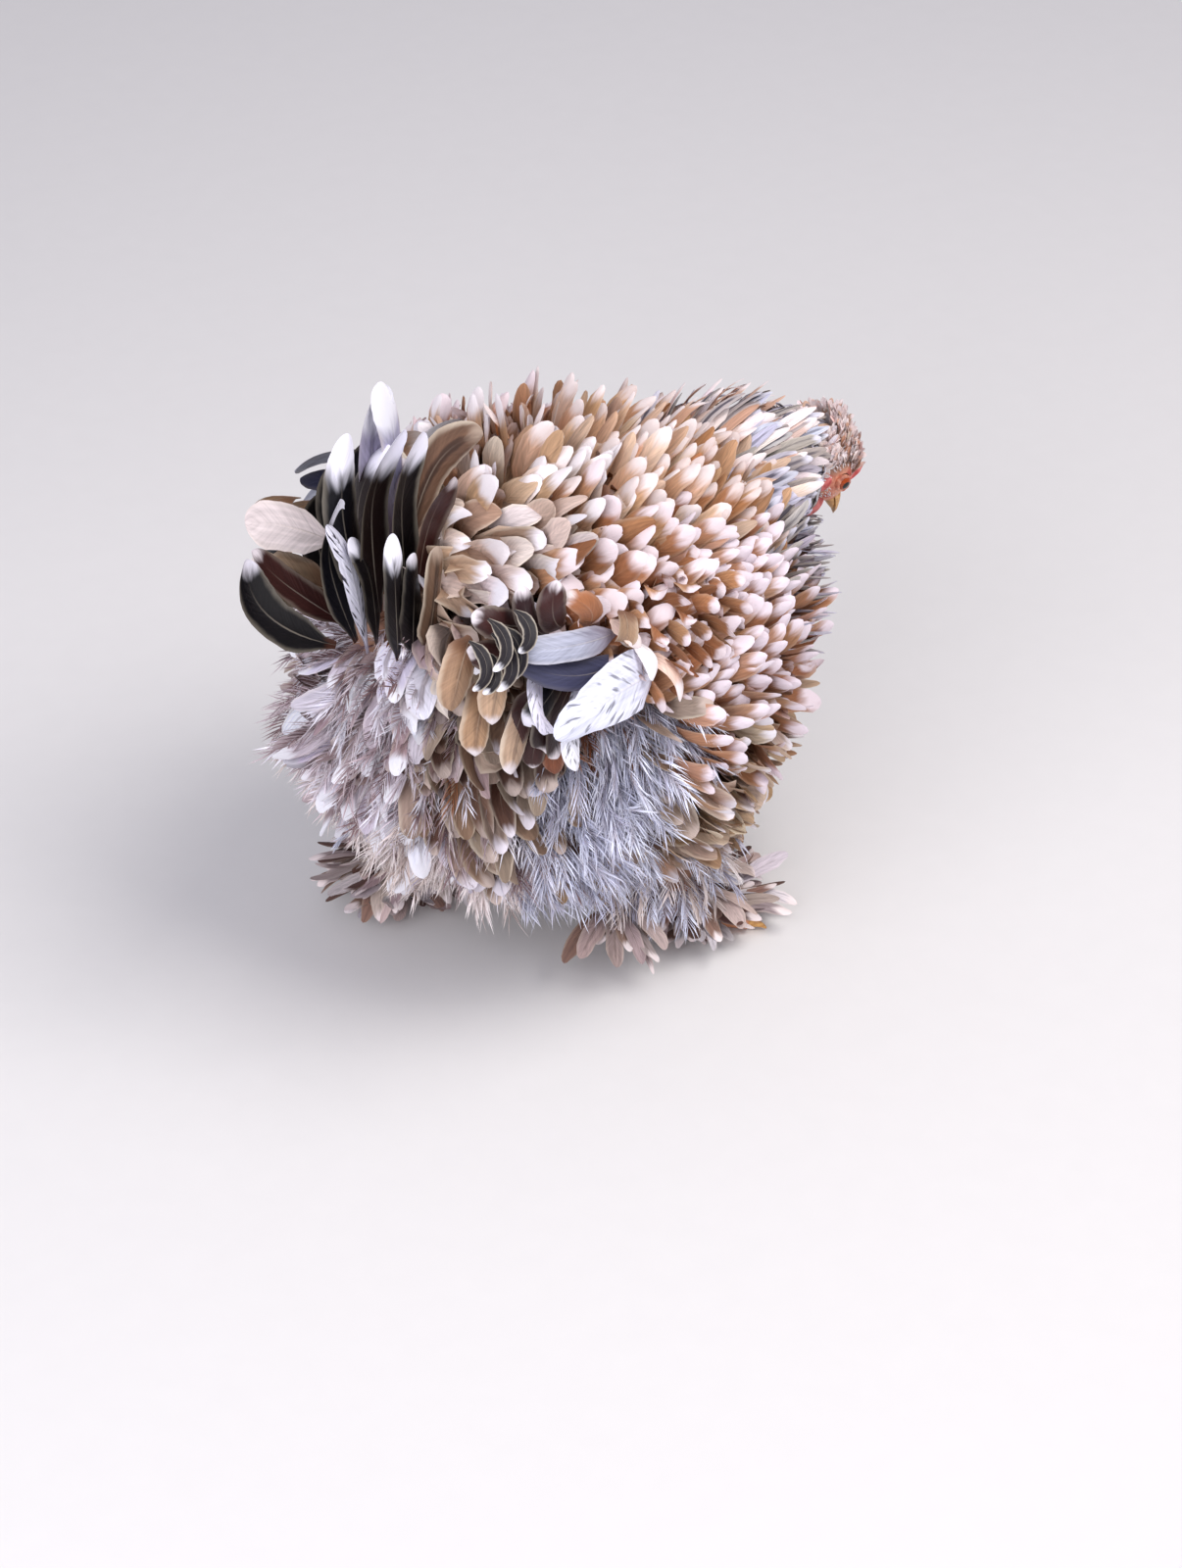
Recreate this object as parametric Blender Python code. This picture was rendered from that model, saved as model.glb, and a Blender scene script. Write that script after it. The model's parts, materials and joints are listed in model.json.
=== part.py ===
"""Frizzled Cochin bantam hen, a still life-size model standing on its two feathered feet.

Metres, +Z up, +X the way the hen faces, +Y its left. The origin is the middle of its footprint on the floor.
Each sub-part is a closed core with curled feather vanes joined to it. The cores meet with a hair gap.
"""

import math

import bmesh
import bpy
import numpy as np
from mathutils.bvhtree import BVHTree

# Sizes that drive the hen, in metres
GAP = 0.0003
MARGIN = 0.0004
BODY_CENTRE = np.array([-0.0154, 0.0, 0.135])
BODY_HALF = np.array([0.099, 0.077, 0.083])
CUSHION_RISE = 0.010
VANE_THICK = 0.0009
SEED = 11
# How far a limb's domed end stands out, as a share of its radius there
DOME = 0.45

# Head frame: the bill points steeply down, the comb forward
HEAD_CENTRE = BODY_CENTRE + np.array([0.149, 0.0, 0.059])
HEAD_PITCH = math.radians(66)
HEAD_FORWARD = np.array([math.cos(HEAD_PITCH), 0.0, -math.sin(HEAD_PITCH)])
HEAD_UP = np.array([math.sin(HEAD_PITCH), 0.0, math.cos(HEAD_PITCH)])
EYE_RADIUS = 0.0044
EYE_PLACE = (0.0015, 0.0106, 0.0012)

# Feet on the floor: the right one strides forward, the left one trails
FOOT_RIGHT = BODY_CENTRE * [1, 1, 0] + np.array([0.050, -0.046, 0.0])
FOOT_LEFT = BODY_CENTRE * [1, 1, 0] + np.array([-0.056, 0.042, 0.0])
TOE_RADIUS = 0.0042
TOE_FLAT = 0.0006
TOE_TAPER = (1.2, 1.0, 0.82)
HOCK_HEIGHT = 0.034

SIDES = {"right": -1.0, "left": 1.0}
FORWARD = np.array([1.0, 0.0, 0.0])
LEFT = np.array([0.0, 1.0, 0.0])
UP = np.array([0.0, 0.0, 1.0])


def clear_scene():
    """Removes the startup objects."""
    for obj in list(bpy.data.objects):
        bpy.data.objects.remove(obj)


def unit(vector):
    """A vector, or each row of an array, at length one."""
    vector = np.asarray(vector, float)
    return vector / np.maximum(np.linalg.norm(vector, axis=-1, keepdims=True), 1e-12)


def make_object(name, points, faces):
    """A mesh object from points and triangles, with its faces turned outwards."""
    points, faces = np.asarray(points, float), np.asarray(faces, int)
    corners = points[faces]
    volume = np.einsum("ij,ij->i", corners[:, 0], np.cross(corners[:, 1], corners[:, 2])).sum()
    if volume < 0:
        faces = faces[:, ::-1]
    mesh = bpy.data.meshes.new(name)
    mesh.from_pydata(points.tolist(), [], faces.tolist())
    obj = bpy.data.objects.new(name, mesh)
    bpy.context.scene.collection.objects.link(obj)
    return obj


def ring_faces(rows, columns):
    """Triangles of a tube of rings, each ring closed on itself."""
    row, column = np.meshgrid(np.arange(rows - 1), np.arange(columns), indexing="ij")
    here = row * columns + column
    beside = row * columns + (column + 1) % columns
    first = np.stack([here, beside, beside + columns], -1).reshape(-1, 3)
    second = np.stack([here, beside + columns, here + columns], -1).reshape(-1, 3)
    return np.concatenate([first, second])


def tube(name, rings, start, end):
    """A closed body through rings of points, with a pole at each end."""
    rings = np.asarray(rings, float)
    rows, columns = rings.shape[:2]
    points = np.concatenate([rings.reshape(-1, 3), [start], [end]])
    around = np.arange(columns)
    beside = (around + 1) % columns
    low = np.stack([np.full(columns, rows * columns), beside, around], -1)
    last = (rows - 1) * columns
    high = np.stack([np.full(columns, rows * columns + 1), last + around, last + beside], -1)
    return make_object(name, points, np.concatenate([ring_faces(rows, columns), low, high]))


def apply_boolean(target, others, operation, solver="EXACT"):
    """Applies one Boolean between target and the others, which are then removed."""
    group = bpy.data.collections.new("joined_pieces")
    for obj in others:
        group.objects.link(obj)
    modifier = target.modifiers.new("join", "BOOLEAN")
    modifier.operation = operation
    modifier.solver = solver
    modifier.operand_type = "COLLECTION"
    modifier.collection = group
    graph = bpy.context.evaluated_depsgraph_get()
    made = bpy.data.meshes.new_from_object(target.evaluated_get(graph))
    target.modifiers.clear()
    target.data = made
    for obj in others:
        bpy.data.objects.remove(obj)
    bpy.data.collections.remove(group)
    return target


def keep_largest(obj):
    """Drops every loose scrap and sealed hollow, so that one closed surface is left."""
    mesh = bmesh.new()
    mesh.from_mesh(obj.data)
    bmesh.ops.triangulate(mesh, faces=mesh.faces)
    left = set(mesh.faces)
    groups = []
    while left:
        stack = [left.pop()]
        group = list(stack)
        while stack:
            for edge in stack.pop().edges:
                for face in edge.link_faces:
                    if face in left:
                        left.remove(face)
                        stack.append(face)
                        group.append(face)
        groups.append(group)
    groups.sort(key=lambda group: sum(face.calc_area() for face in group))
    for group in groups[:-1]:
        bmesh.ops.delete(mesh, geom=group, context="FACES")
    mesh.to_mesh(obj.data)
    mesh.free()
    return obj


def tree_of(obj):
    """The object's triangles as a search tree."""
    obj.data.calc_loop_triangles()
    points = [vertex.co[:] for vertex in obj.data.vertices]
    faces = [tuple(triangle.vertices) for triangle in obj.data.loop_triangles]
    return BVHTree.FromPolygons(points, faces, all_triangles=True)


class Thicket:
    """Everything a new vane must stay clear of: the cores and the vanes set so far."""

    def __init__(self, cores):
        self.core_trees = {name: tree_of(obj) for name, obj in cores.items()}
        self.points = []
        self.faces = []
        self.count = 0
        self.vane_tree = None

    def hits(self, node, points, faces, roots_join):
        """Whether a swollen copy of a vane meets another node, another vane, or its own core past the root.

        Where roots may join, only the stretch past the root's first segment must clear the other vanes.
        """
        tree = BVHTree.FromPolygons(points.tolist(), faces.tolist(), all_triangles=True)
        past_root = faces[ROOT_FACES:]
        outer = BVHTree.FromPolygons(points.tolist(), past_root.tolist(), all_triangles=True)
        if self.vane_tree is not None and self.vane_tree.overlap(outer if roots_join else tree):
            return True
        if self.core_trees[node].overlap(outer):
            return True
        return any(core.overlap(tree) for name, core in self.core_trees.items() if name != node)

    def skin_point(self, node, inside, direction):
        """Where a line from a point inside a node's core comes out of it."""
        place, _, _, _ = self.core_trees[node].ray_cast(inside.tolist(), direction.tolist())
        return inside if place is None else np.array(place)

    def add(self, points, faces):
        """Remembers a vane that was set."""
        self.points.extend(points.tolist())
        self.faces.extend((faces + self.count).tolist())
        self.count += len(points)
        self.vane_tree = BVHTree.FromPolygons(self.points, self.faces, all_triangles=True)


# A vane's outline: how far along each station lies, and its share of the full width there
PETAL = ((0.0, 0.20), (0.34, 0.76), (0.76, 1.0), (1.0, 0.50))
QUILL = ((0.0, 0.18), (0.35, 0.80), (0.80, 1.0), (1.0, 0.46))
RECTRIX = ((0.0, 0.10), (0.15, 0.22), (0.50, 0.84), (0.84, 1.0), (1.0, 0.42))
LOCK = ((0.0, 0.40), (0.50, 1.0), (1.0, 0.24))
# Faces of a vane's root cap and first segment
ROOT_FACES = 10
# How deep a vane's root is sunk in its core, and a boot feather's in the thin shank
SUNK = 0.005
BOOT_SUNK = 0.003
BOOT_WIDTH = 0.017


def vane_mesh(root, start, end, across, length, width, outline, swell=0.0):
    """A flat feather that bends from its start direction to its end direction, as wide as it can be along across.

    The path adds up directions turned evenly from start to end. Each station has four corners, and both faces
    are split along the same diagonals.
    """
    along = np.array([station[0] for station in outline])
    share = np.array([station[1] for station in outline])
    start, end = unit(start), unit(end)
    fine = np.linspace(0, 1, 25)
    turn = math.acos(float(np.clip(start @ end, -0.999, 1)))
    lean = np.sin((1 - fine) * turn)[:, None] * start + np.sin(fine * turn)[:, None] * end
    lean = unit(lean) if turn > 1e-3 else np.tile(start, (len(fine), 1))
    steps = (lean[1:] + lean[:-1]) / 2 * (length + swell) / (len(fine) - 1)
    path = root + np.concatenate([[np.zeros(3)], np.cumsum(steps, axis=0)])
    centre = np.stack([np.interp(along, fine, path[:, axis]) for axis in range(3)], -1)
    heading = unit(np.stack([np.interp(along, fine, lean[:, axis]) for axis in range(3)], -1))
    across = unit(across - heading * (heading @ across)[:, None])
    side = across * (width / 2 * share + swell)[:, None]
    thick = np.where(along > 0.9, 0.6, 1.0) * VANE_THICK / 2 + swell
    face = np.cross(heading, across) * thick[:, None]
    corners = np.stack([centre - side + face, centre + side + face, centre + side - face, centre - side - face], 1)
    points = corners.reshape(-1, 3)
    faces = [(0, 1, 2), (0, 2, 3)]
    for row in range(len(along) - 1):
        near, far = row * 4, row * 4 + 4
        faces += [(near, far, far + 1), (near, far + 1, near + 1)]
        faces += [(near + 1, far + 1, far + 2), (near + 1, far + 2, near + 2)]
        faces += [(near + 2, far + 2, near + 3), (near + 3, far + 2, far + 3)]
        faces += [(near + 3, far + 3, far), (near + 3, far, near)]
    last = (len(along) - 1) * 4
    faces += [(last + 1, last, last + 2), (last + 2, last, last + 3)]
    return points, np.array(faces)


# Ways to bend a vane clear of its neighbours: turn about its root in degrees, lift off the skin, share of its size
TRIES = (
    (0, 0.0, 1.0),
    (12, 0.0, 1.0),
    (-12, 0.0, 1.0),
    (0, 0.4, 1.0),
    (20, 0.3, 0.95),
    (-20, 0.3, 0.95),
    (0, 1.0, 0.95),
    (30, 0.5, 0.90),
    (-30, 0.5, 0.90),
    (0, 0.0, 0.82),
    (15, 1.0, 0.82),
    (-15, 1.0, 0.82),
    (25, 0.5, 0.72),
    (-25, 0.5, 0.72),
)


def turned(vector, axis, angle):
    """vector turned about axis by an angle in radians."""
    axis = unit(axis)
    cos, sin = math.cos(angle), math.sin(angle)
    return vector * cos + np.cross(axis, vector) * sin + axis * (axis @ vector) * (1 - cos)


def set_vane(thicket, node, place, normal, start, end, length, width, outline, sunk, roots_join=False):
    """Sets one vane, bent clear of all others, and returns its object, or None where no way is free."""
    for degrees, lift, size in TRIES:
        angle = math.radians(degrees)
        head = unit(turned(unit(start), normal, angle) + normal * lift)
        tail = unit(turned(unit(end), normal, angle) + normal * lift * 0.4)
        root = place - head * sunk
        across = np.cross(normal, head)
        shape = (root, head, tail, across, length * size + sunk, width * size, outline)
        points, faces = vane_mesh(*shape)
        swollen, _ = vane_mesh(*shape, swell=MARGIN)
        if swollen[:, 2].min() < MARGIN:
            continue
        if not thicket.hits(node, swollen, faces, roots_join):
            thicket.add(points, faces)
            return make_object("vane", points, faces)
    return None


def body_point(direction, extra=0.0):
    """The torso's surface in a direction: an egg, with the cushion raised behind and above."""
    direction = unit(direction)
    half = BODY_HALF + extra
    point = direction * half
    rise = np.clip(direction[..., 2], 0, 1) * np.exp(-(((direction[..., 0] + 0.55) / 0.5) ** 2))
    point[..., 2] = point[..., 2] + CUSHION_RISE * rise
    return BODY_CENTRE + point


def body_normal(direction):
    """The egg's outward normal in a direction."""
    return unit(unit(direction) / BODY_HALF)


def make_torso(name, extra=0.0, rows=15, columns=22):
    """The torso's core: rings round the fore-and-aft axis."""
    polar = np.linspace(0, math.pi, rows + 2)[1:-1, None]
    turn = np.linspace(0, 2 * math.pi, columns, endpoint=False)[None]
    ring = np.stack(
        [np.cos(polar) * np.ones_like(turn), np.sin(polar) * np.cos(turn), np.sin(polar) * np.sin(turn)], -1
    )
    return tube(name, body_point(ring, extra), body_point([1.0, 0, 0], extra), body_point([-1.0, 0, 0], extra))


def limb(name, centres, radii, extra=0.0, columns=16, steps=3):
    """A round limb along a smooth path: rings square to the path, with domed ends."""
    centres, radii = np.asarray(centres, float), np.asarray(radii, float)
    knots = np.linspace(0, 1, len(centres))
    fine = np.linspace(0, 1, (len(centres) - 1) * steps + 1)
    weights = np.array([smooth_weights(knots, value) for value in fine])
    path, radius = weights @ centres, weights @ radii + extra
    heading = unit(np.gradient(path, axis=0))
    sideways = unit(np.cross(heading, np.where(abs(heading[:, 2:3]) > 0.95, [[1.0, 0, 0]], [UP])))
    upward = np.cross(sideways, heading)
    turn = np.linspace(0, 2 * math.pi, columns, endpoint=False)
    rings = (
        path[:, None]
        + sideways[:, None] * (radius[:, None] * np.cos(turn))[..., None]
        + upward[:, None] * (radius[:, None] * np.sin(turn))[..., None]
    )
    start = path[0] - heading[0] * radius[0] * DOME
    end = path[-1] + heading[-1] * radius[-1] * DOME
    return tube(name, rings, start, end)


def smooth_weights(knots, value):
    """Weights of a Catmull-Rom curve through the knots at a value from 0 to 1."""
    count = len(knots)
    place = min(value * (count - 1), count - 1 - 1e-9)
    index = int(place)
    share = place - index
    weights = np.zeros(count)
    terms = (
        -0.5 * share + share**2 - 0.5 * share**3,
        1 - 2.5 * share**2 + 1.5 * share**3,
        0.5 * share + 2 * share**2 - 1.5 * share**3,
        -0.5 * share**2 + 0.5 * share**3,
    )
    for offset, term in zip((-1, 0, 1, 2), terms):
        weights[min(max(index + offset, 0), count - 1)] += term
    return weights


NECK_PATH = BODY_CENTRE + np.array([[0.050, 0, 0.026], [0.086, 0, 0.054], [0.116, 0, 0.070], [0.138, 0, 0.068]])
NECK_RADII = (0.046, 0.036, 0.025, 0.0165)


def make_neck(name, extra=0.0):
    """The neck's core, arched over from the shoulders to the nape."""
    return limb(name, NECK_PATH, NECK_RADII, extra, columns=16, steps=2)


def head_point(forward, side, up):
    """A point of the head's own frame: towards the bill, to the hen's left, towards the comb."""
    return HEAD_CENTRE + HEAD_FORWARD * forward + LEFT * side + HEAD_UP * up


# Skull stations: how far forward, half width, half height, middle height
SKULL = (
    (-0.0165, 0.0080, 0.0085, 0.0010),
    (-0.0120, 0.0112, 0.0122, 0.0010),
    (-0.0055, 0.0130, 0.0142, 0.0008),
    (0.0010, 0.0128, 0.0142, 0.0000),
    (0.0062, 0.0108, 0.0125, -0.0008),
    (0.0105, 0.0080, 0.0098, -0.0016),
    (0.0135, 0.0052, 0.0066, -0.0020),
)


def make_skull(name, extra=0.0, columns=24):
    """The head's core: ovals along the bill's axis, cheeks fuller than the crown."""
    turn = np.linspace(0, 2 * math.pi, columns, endpoint=False)
    rings = []
    for forward, wide, high, middle in SKULL:
        cheek = 1 + 0.10 * np.clip(-np.sin(turn), 0, 1)
        side = np.cos(turn) * (wide + extra) * cheek
        up = middle + np.sin(turn) * (high + extra)
        rings.append([head_point(forward, y, z) for y, z in zip(side, up)])
    return tube(name, rings, head_point(-0.0190 - extra, 0, 0.001), head_point(0.0150 + extra, 0, -0.002))


def make_ball(name, centre, half, axes, rows=9, columns=16):
    """A rounded lump: a sphere stretched along three axes."""
    polar = np.linspace(0, math.pi, rows + 2)[1:-1, None]
    turn = np.linspace(0, 2 * math.pi, columns, endpoint=False)[None]
    ring = np.stack(
        [np.cos(polar) * np.ones_like(turn), np.sin(polar) * np.cos(turn), np.sin(polar) * np.sin(turn)], -1
    )
    axes = np.asarray(axes, float)
    rings = centre + (ring * half) @ axes
    return tube(name, rings, centre + axes[0] * half[0], centre - axes[0] * half[0])


def eye_centre(side):
    """Where an eye's middle lies."""
    forward, out, up = EYE_PLACE
    return head_point(forward, out * side, up)


def head_axes(tilt=0.0):
    """The head's forward, left and up axes, tilted about the left one by degrees."""
    angle = math.radians(tilt)
    forward = HEAD_FORWARD * math.cos(angle) + HEAD_UP * math.sin(angle)
    up = HEAD_UP * math.cos(angle) - HEAD_FORWARD * math.sin(angle)
    return np.array([forward, LEFT, up])


# Radius of the eyelids' rim
LID_RADIUS = 0.0011


def make_lid_ring(name, side, columns=16, tube_columns=5):
    """The raised rim of the eyelids: a thin ring round the eye."""
    centre = eye_centre(side)
    outward = unit(LEFT * side + HEAD_FORWARD * 0.28)
    first = unit(np.cross(outward, HEAD_UP))
    second = np.cross(outward, first)
    turn = np.linspace(0, 2 * math.pi, columns, endpoint=False)
    small = np.linspace(0, 2 * math.pi, tube_columns, endpoint=False)
    large = EYE_RADIUS * 0.98
    radial = first * np.cos(turn)[:, None] + second * (0.86 * np.sin(turn))[:, None]
    middle = centre + outward * EYE_RADIUS * 0.46
    rings = (
        middle
        + radial[:, None] * (large + LID_RADIUS * np.cos(small))[None, :, None]
        + outward * (LID_RADIUS * np.sin(small))[None, :, None]
    )
    points = rings.reshape(-1, 3)
    row, column = np.meshgrid(np.arange(columns), np.arange(tube_columns), indexing="ij")
    here = row * tube_columns + column
    beside = row * tube_columns + (column + 1) % tube_columns
    across = (row + 1) % columns * tube_columns
    ahead, corner = across + column, across + (column + 1) % tube_columns
    first_half = np.stack([here, beside, corner], -1).reshape(-1, 3)
    second_half = np.stack([here, corner, ahead], -1).reshape(-1, 3)
    return make_object(name, points, np.concatenate([first_half, second_half]))


def make_head():
    """The head: skull and lid rims, with sockets cut for the eyes and room for the neck."""
    head = make_skull("head")
    lids = [make_lid_ring("lid", side) for side in SIDES.values()]
    apply_boolean(head, lids, "UNION")
    swollen = EYE_RADIUS + GAP
    sockets = [make_ball("socket", eye_centre(side), [swollen] * 3, head_axes()) for side in SIDES.values()]
    sockets.append(make_neck("neck_room", GAP))
    apply_boolean(head, sockets, "DIFFERENCE")
    return keep_largest(head)


# Bill stations: how far forward, half width, height above and below the bill's line
UPPER_BILL = ((0.0118, 0.0050, 0.0058), (0.0155, 0.0043, 0.0052), (0.0195, 0.0032, 0.0040), (0.0232, 0.0019, 0.0024))
LOWER_BILL = ((0.0118, 0.0044, 0.0036), (0.0155, 0.0036, 0.0031), (0.0190, 0.0025, 0.0022), (0.0212, 0.0014, 0.0014))
# Heights of the two edges of the mouth, how far each half droops, and where it starts in the skull
MOUTH_UPPER = -0.0030
MOUTH_LOWER = -0.0034
UPPER_DROOP = 0.0022
LOWER_DROOP = 0.0016
BILL_ROOT = 0.0085
# Nostrils: how far forward, to the side and above the mouth, and half their size
NOSTRIL_PLACE = (0.0152, 0.0040, 0.0027)
NOSTRIL_HALF = (0.0013, 0.0012, 0.0006)


def bill_rings(stations, middle, sign, droop, columns=12):
    """Half-oval rings of a bill half: flat along the mouth, rounded away from it."""
    turn = np.linspace(0, math.pi, columns - 3)
    rings = []
    for forward, wide, high in stations:
        bend = droop * ((forward - 0.0118) / 0.0120) ** 2
        side = np.concatenate([np.cos(turn) * wide, [-wide * 0.5, 0.0, wide * 0.5]])
        up = np.concatenate([np.sin(turn) * high * sign, [0.0, 0.0, 0.0]])
        rings.append([head_point(forward, y, middle + z - bend) for y, z in zip(side, up)])
    return rings


def make_bill():
    """Upper and lower bill, parted by the line of the mouth, with a nostril on each side."""
    upper = tube(
        "beak_upper", bill_rings(UPPER_BILL, MOUTH_UPPER, 1.0, UPPER_DROOP),
        head_point(BILL_ROOT, 0, -0.0010), head_point(0.0262, 0, -0.0060),
    )
    lower = tube(
        "beak_lower", bill_rings(LOWER_BILL, MOUTH_LOWER, -1.0, LOWER_DROOP),
        head_point(BILL_ROOT, 0, -0.0050), head_point(0.0228, 0, -0.0056),
    )
    forward, out, above = NOSTRIL_PLACE
    nostrils = [
        make_ball(
            "nostril", head_point(forward, side * out, MOUTH_UPPER + above), NOSTRIL_HALF, head_axes(-12), 5, 8
        )
        for side in SIDES.values()
    ]
    apply_boolean(upper, nostrils, "DIFFERENCE")
    for half in (upper, lower):
        apply_boolean(half, [make_skull("skull_room", GAP)], "DIFFERENCE")
        keep_largest(half)
    return {"beak_upper": upper, "beak_lower": lower}


# Comb: how many points, where it starts and its length along the crown, height of its base, of the notches and of
# the points over them, and half its thickness
COMB_POINTS = 5
COMB_START = -0.0075
COMB_LENGTH = 0.0215
COMB_BASE = 0.0128
COMB_NOTCH = 0.0034
COMB_POINT = 0.0042
COMB_HALF = 0.0013


def make_comb():
    """A small single comb: a plate along the crown with five rounded points."""
    share = np.linspace(0, 1, 26)
    forward = COMB_START + COMB_LENGTH * share
    envelope = np.sin(math.pi * (0.12 + 0.80 * (1 - share))) ** 0.7
    teeth = 0.5 - 0.5 * np.cos(2 * math.pi * COMB_POINTS * share)
    top = COMB_BASE + envelope * (COMB_NOTCH + COMB_POINT * teeth)
    bottom = np.interp(share, [0, 0.6, 1], [0.0105, 0.0070, 0.0010])
    half = COMB_HALF * (1 - 0.3 * teeth)
    rings = [
        [head_point(f, -h, b), head_point(f, h, b), head_point(f, h * 0.6, t), head_point(f, -h * 0.6, t)]
        for f, h, b, t in zip(forward, half, bottom, top)
    ]
    comb = tube(
        "comb", rings, head_point(forward[0] - 0.0008, 0, 0.0125), head_point(forward[-1] + 0.0008, 0, 0.0040)
    )
    apply_boolean(comb, [make_skull("skull_room", GAP), upper_bill_room()], "DIFFERENCE")
    return keep_largest(comb)


def upper_bill_room():
    """The upper bill grown by the gap, to cut the comb clear of it."""
    grown = [(forward, wide + GAP, high + GAP) for forward, wide, high in UPPER_BILL]
    return tube(
        "bill_room", bill_rings(grown, MOUTH_UPPER, 1.0, UPPER_DROOP),
        head_point(BILL_ROOT - 0.0005, 0, -0.001), head_point(0.0266, 0, -0.0060),
    )


# Wattles and earlobes: middle (forward, out, up) in the head's frame, half size, tilt in degrees
WATTLE = ((0.0075, 0.0062, -0.0145), (0.0046, 0.0014, 0.0062), 12)
EARLOBE = ((-0.0050, 0.0128, -0.0070), (0.0032, 0.0016, 0.0044), 20)


def make_lobe(name, side, shape):
    """A flat oval lobe on one side of the head."""
    (forward, out, up), half, tilt = shape
    return make_ball(name, head_point(forward, side * out, up), half, head_axes(tilt), 7, 12)


def make_wattle(side_name):
    """A small rounded wattle that hangs from the corner of the jaw."""
    wattle = make_lobe(f"wattle_{side_name}", SIDES[side_name], WATTLE)
    apply_boolean(wattle, [make_skull("skull_room", GAP), lower_bill_room()], "DIFFERENCE")
    return keep_largest(wattle)


def lower_bill_room():
    """The lower bill grown by the gap, to cut the wattles clear of it."""
    grown = [(forward, wide + GAP, high + GAP) for forward, wide, high in LOWER_BILL]
    return tube(
        "bill_room", bill_rings(grown, MOUTH_LOWER + GAP, -1.0, LOWER_DROOP),
        head_point(BILL_ROOT - 0.0005, 0, -0.005), head_point(0.0233, 0, -0.0056),
    )


def make_earlobe(side_name):
    """A flat oval lobe behind and below the eye."""
    lobe = make_lobe(f"earlobe_{side_name}", SIDES[side_name], EARLOBE)
    apply_boolean(lobe, [make_skull("skull_room", GAP), make_neck("neck_room", GAP)], "DIFFERENCE")
    return keep_largest(lobe)


WING_PATH = np.array([[0.038, 0.066, 0.060], [0.014, 0.077, 0.058], [-0.014, 0.079, 0.055], [-0.036, 0.075, 0.052]])
WING_RADII = (0.010, 0.016, 0.016, 0.009)
# Half the pad's thickness, and how far out of its middle the feathers start
WING_THIN = 0.0065
WING_OUT = 0.0055


def wing_place(side, point):
    """A point of the wing, mirrored to its side and set on the body."""
    point = np.asarray(point, float)
    return BODY_CENTRE + point * np.array([1.0, side, 1.0])


def make_wing(side_name, extra=0.0):
    """A folded wing's core: a flat pad from the shoulder to the wrist, hollowed to fit the torso."""
    side = SIDES[side_name]
    centres = np.array([wing_place(side, point) for point in WING_PATH])
    knots = np.linspace(0, 1, len(centres))
    fine = np.linspace(0, 1, 7)
    weights = np.array([smooth_weights(knots, value) for value in fine])
    path, radius = weights @ centres, weights @ np.array(WING_RADII) + extra
    turn = np.linspace(0, 2 * math.pi, 12, endpoint=False)
    thin = WING_THIN + extra
    rings = (
        path[:, None]
        + np.array([0.15, 0.0, 1.0]) * (radius[:, None] * np.sin(turn))[..., None]
        + LEFT * side * (thin * np.cos(turn))[None, :, None]
    )
    ends = path[0] + [0.010 + extra, 0, 0.002], path[-1] - [0.010 + extra, 0, 0]
    return tube(f"wing_{side_name}", rings, *ends)


TAIL_ROOT = BODY_CENTRE + np.array([-0.078, 0.0, 0.036])
TAIL_TOP = BODY_CENTRE + np.array([-0.087, 0.0, 0.068])
TAIL_RADII = (0.020, 0.018, 0.011)


def make_tail_core(name, extra=0.0):
    """The tail's root: a short fleshy wedge that carries the fan."""
    path = [TAIL_ROOT + [0.024, 0, -0.020], TAIL_ROOT, TAIL_TOP]
    return limb(name, path, TAIL_RADII, extra, columns=14)


LEG_RADII = (0.028, 0.024, 0.014)


def leg_path(side_name):
    """Hip, thigh and hock of a leg."""
    foot = FOOT_RIGHT if side_name == "right" else FOOT_LEFT
    hip = BODY_CENTRE + (foot - BODY_CENTRE) * [0.45, 0.95, 0.0] - UP * 0.058
    hock = np.array([foot[0] - 0.008, foot[1], HOCK_HEIGHT])
    return np.array([hip, (hip + hock) / 2 + [0, np.sign(foot[1]) * 0.002, 0], hock])


def make_leg(side_name, extra=0.0):
    """A leg's downy core, from the belly to the hock."""
    return limb(f"leg_{side_name}", leg_path(side_name), LEG_RADII, extra, columns=10, steps=2)


SHANK_RADII = (0.0062, 0.0054, 0.0062)
# Toes: angle from straight ahead in degrees, length
TOES = ((-34.0, 0.029), (0.0, 0.036), (34.0, 0.029), (172.0, 0.014))


def toe_line(side_name, index):
    """Where a toe starts and ends on the floor plan, and the way it points."""
    foot = FOOT_RIGHT if side_name == "right" else FOOT_LEFT
    degrees, length = TOES[index]
    angle = math.radians(degrees + (6.0 if side_name == "left" else -6.0))
    heading = np.array([math.cos(angle), math.sin(angle), 0.0])
    return foot, foot + heading * length, heading


def make_foot(side_name):
    """Shank and four toes, flat underneath where they bear on the floor."""
    foot = FOOT_RIGHT if side_name == "right" else FOOT_LEFT
    hock = leg_path(side_name)[-1]
    shank = limb(
        f"foot_{side_name}", [hock + UP * 0.004, (hock + foot) / 2 + [0.001, 0, 0.004], foot + UP * 0.006],
        SHANK_RADII, columns=10, steps=2,
    )
    toes = []
    for index in range(len(TOES)):
        start, end, heading = toe_line(side_name, index)
        radii = TOE_RADIUS * np.array(TOE_TAPER)
        middles = [start, (start + end) / 2, end]
        path = [middle + UP * (radius - TOE_FLAT) for middle, radius in zip(middles, radii)]
        toes.append(limb("toe", path, radii, columns=8, steps=2))
    apply_boolean(shank, toes, "UNION")
    floor = make_slab("floor_cut", foot)
    apply_boolean(shank, [floor, make_leg(side_name, GAP)], "DIFFERENCE")
    return keep_largest(shank)


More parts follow.
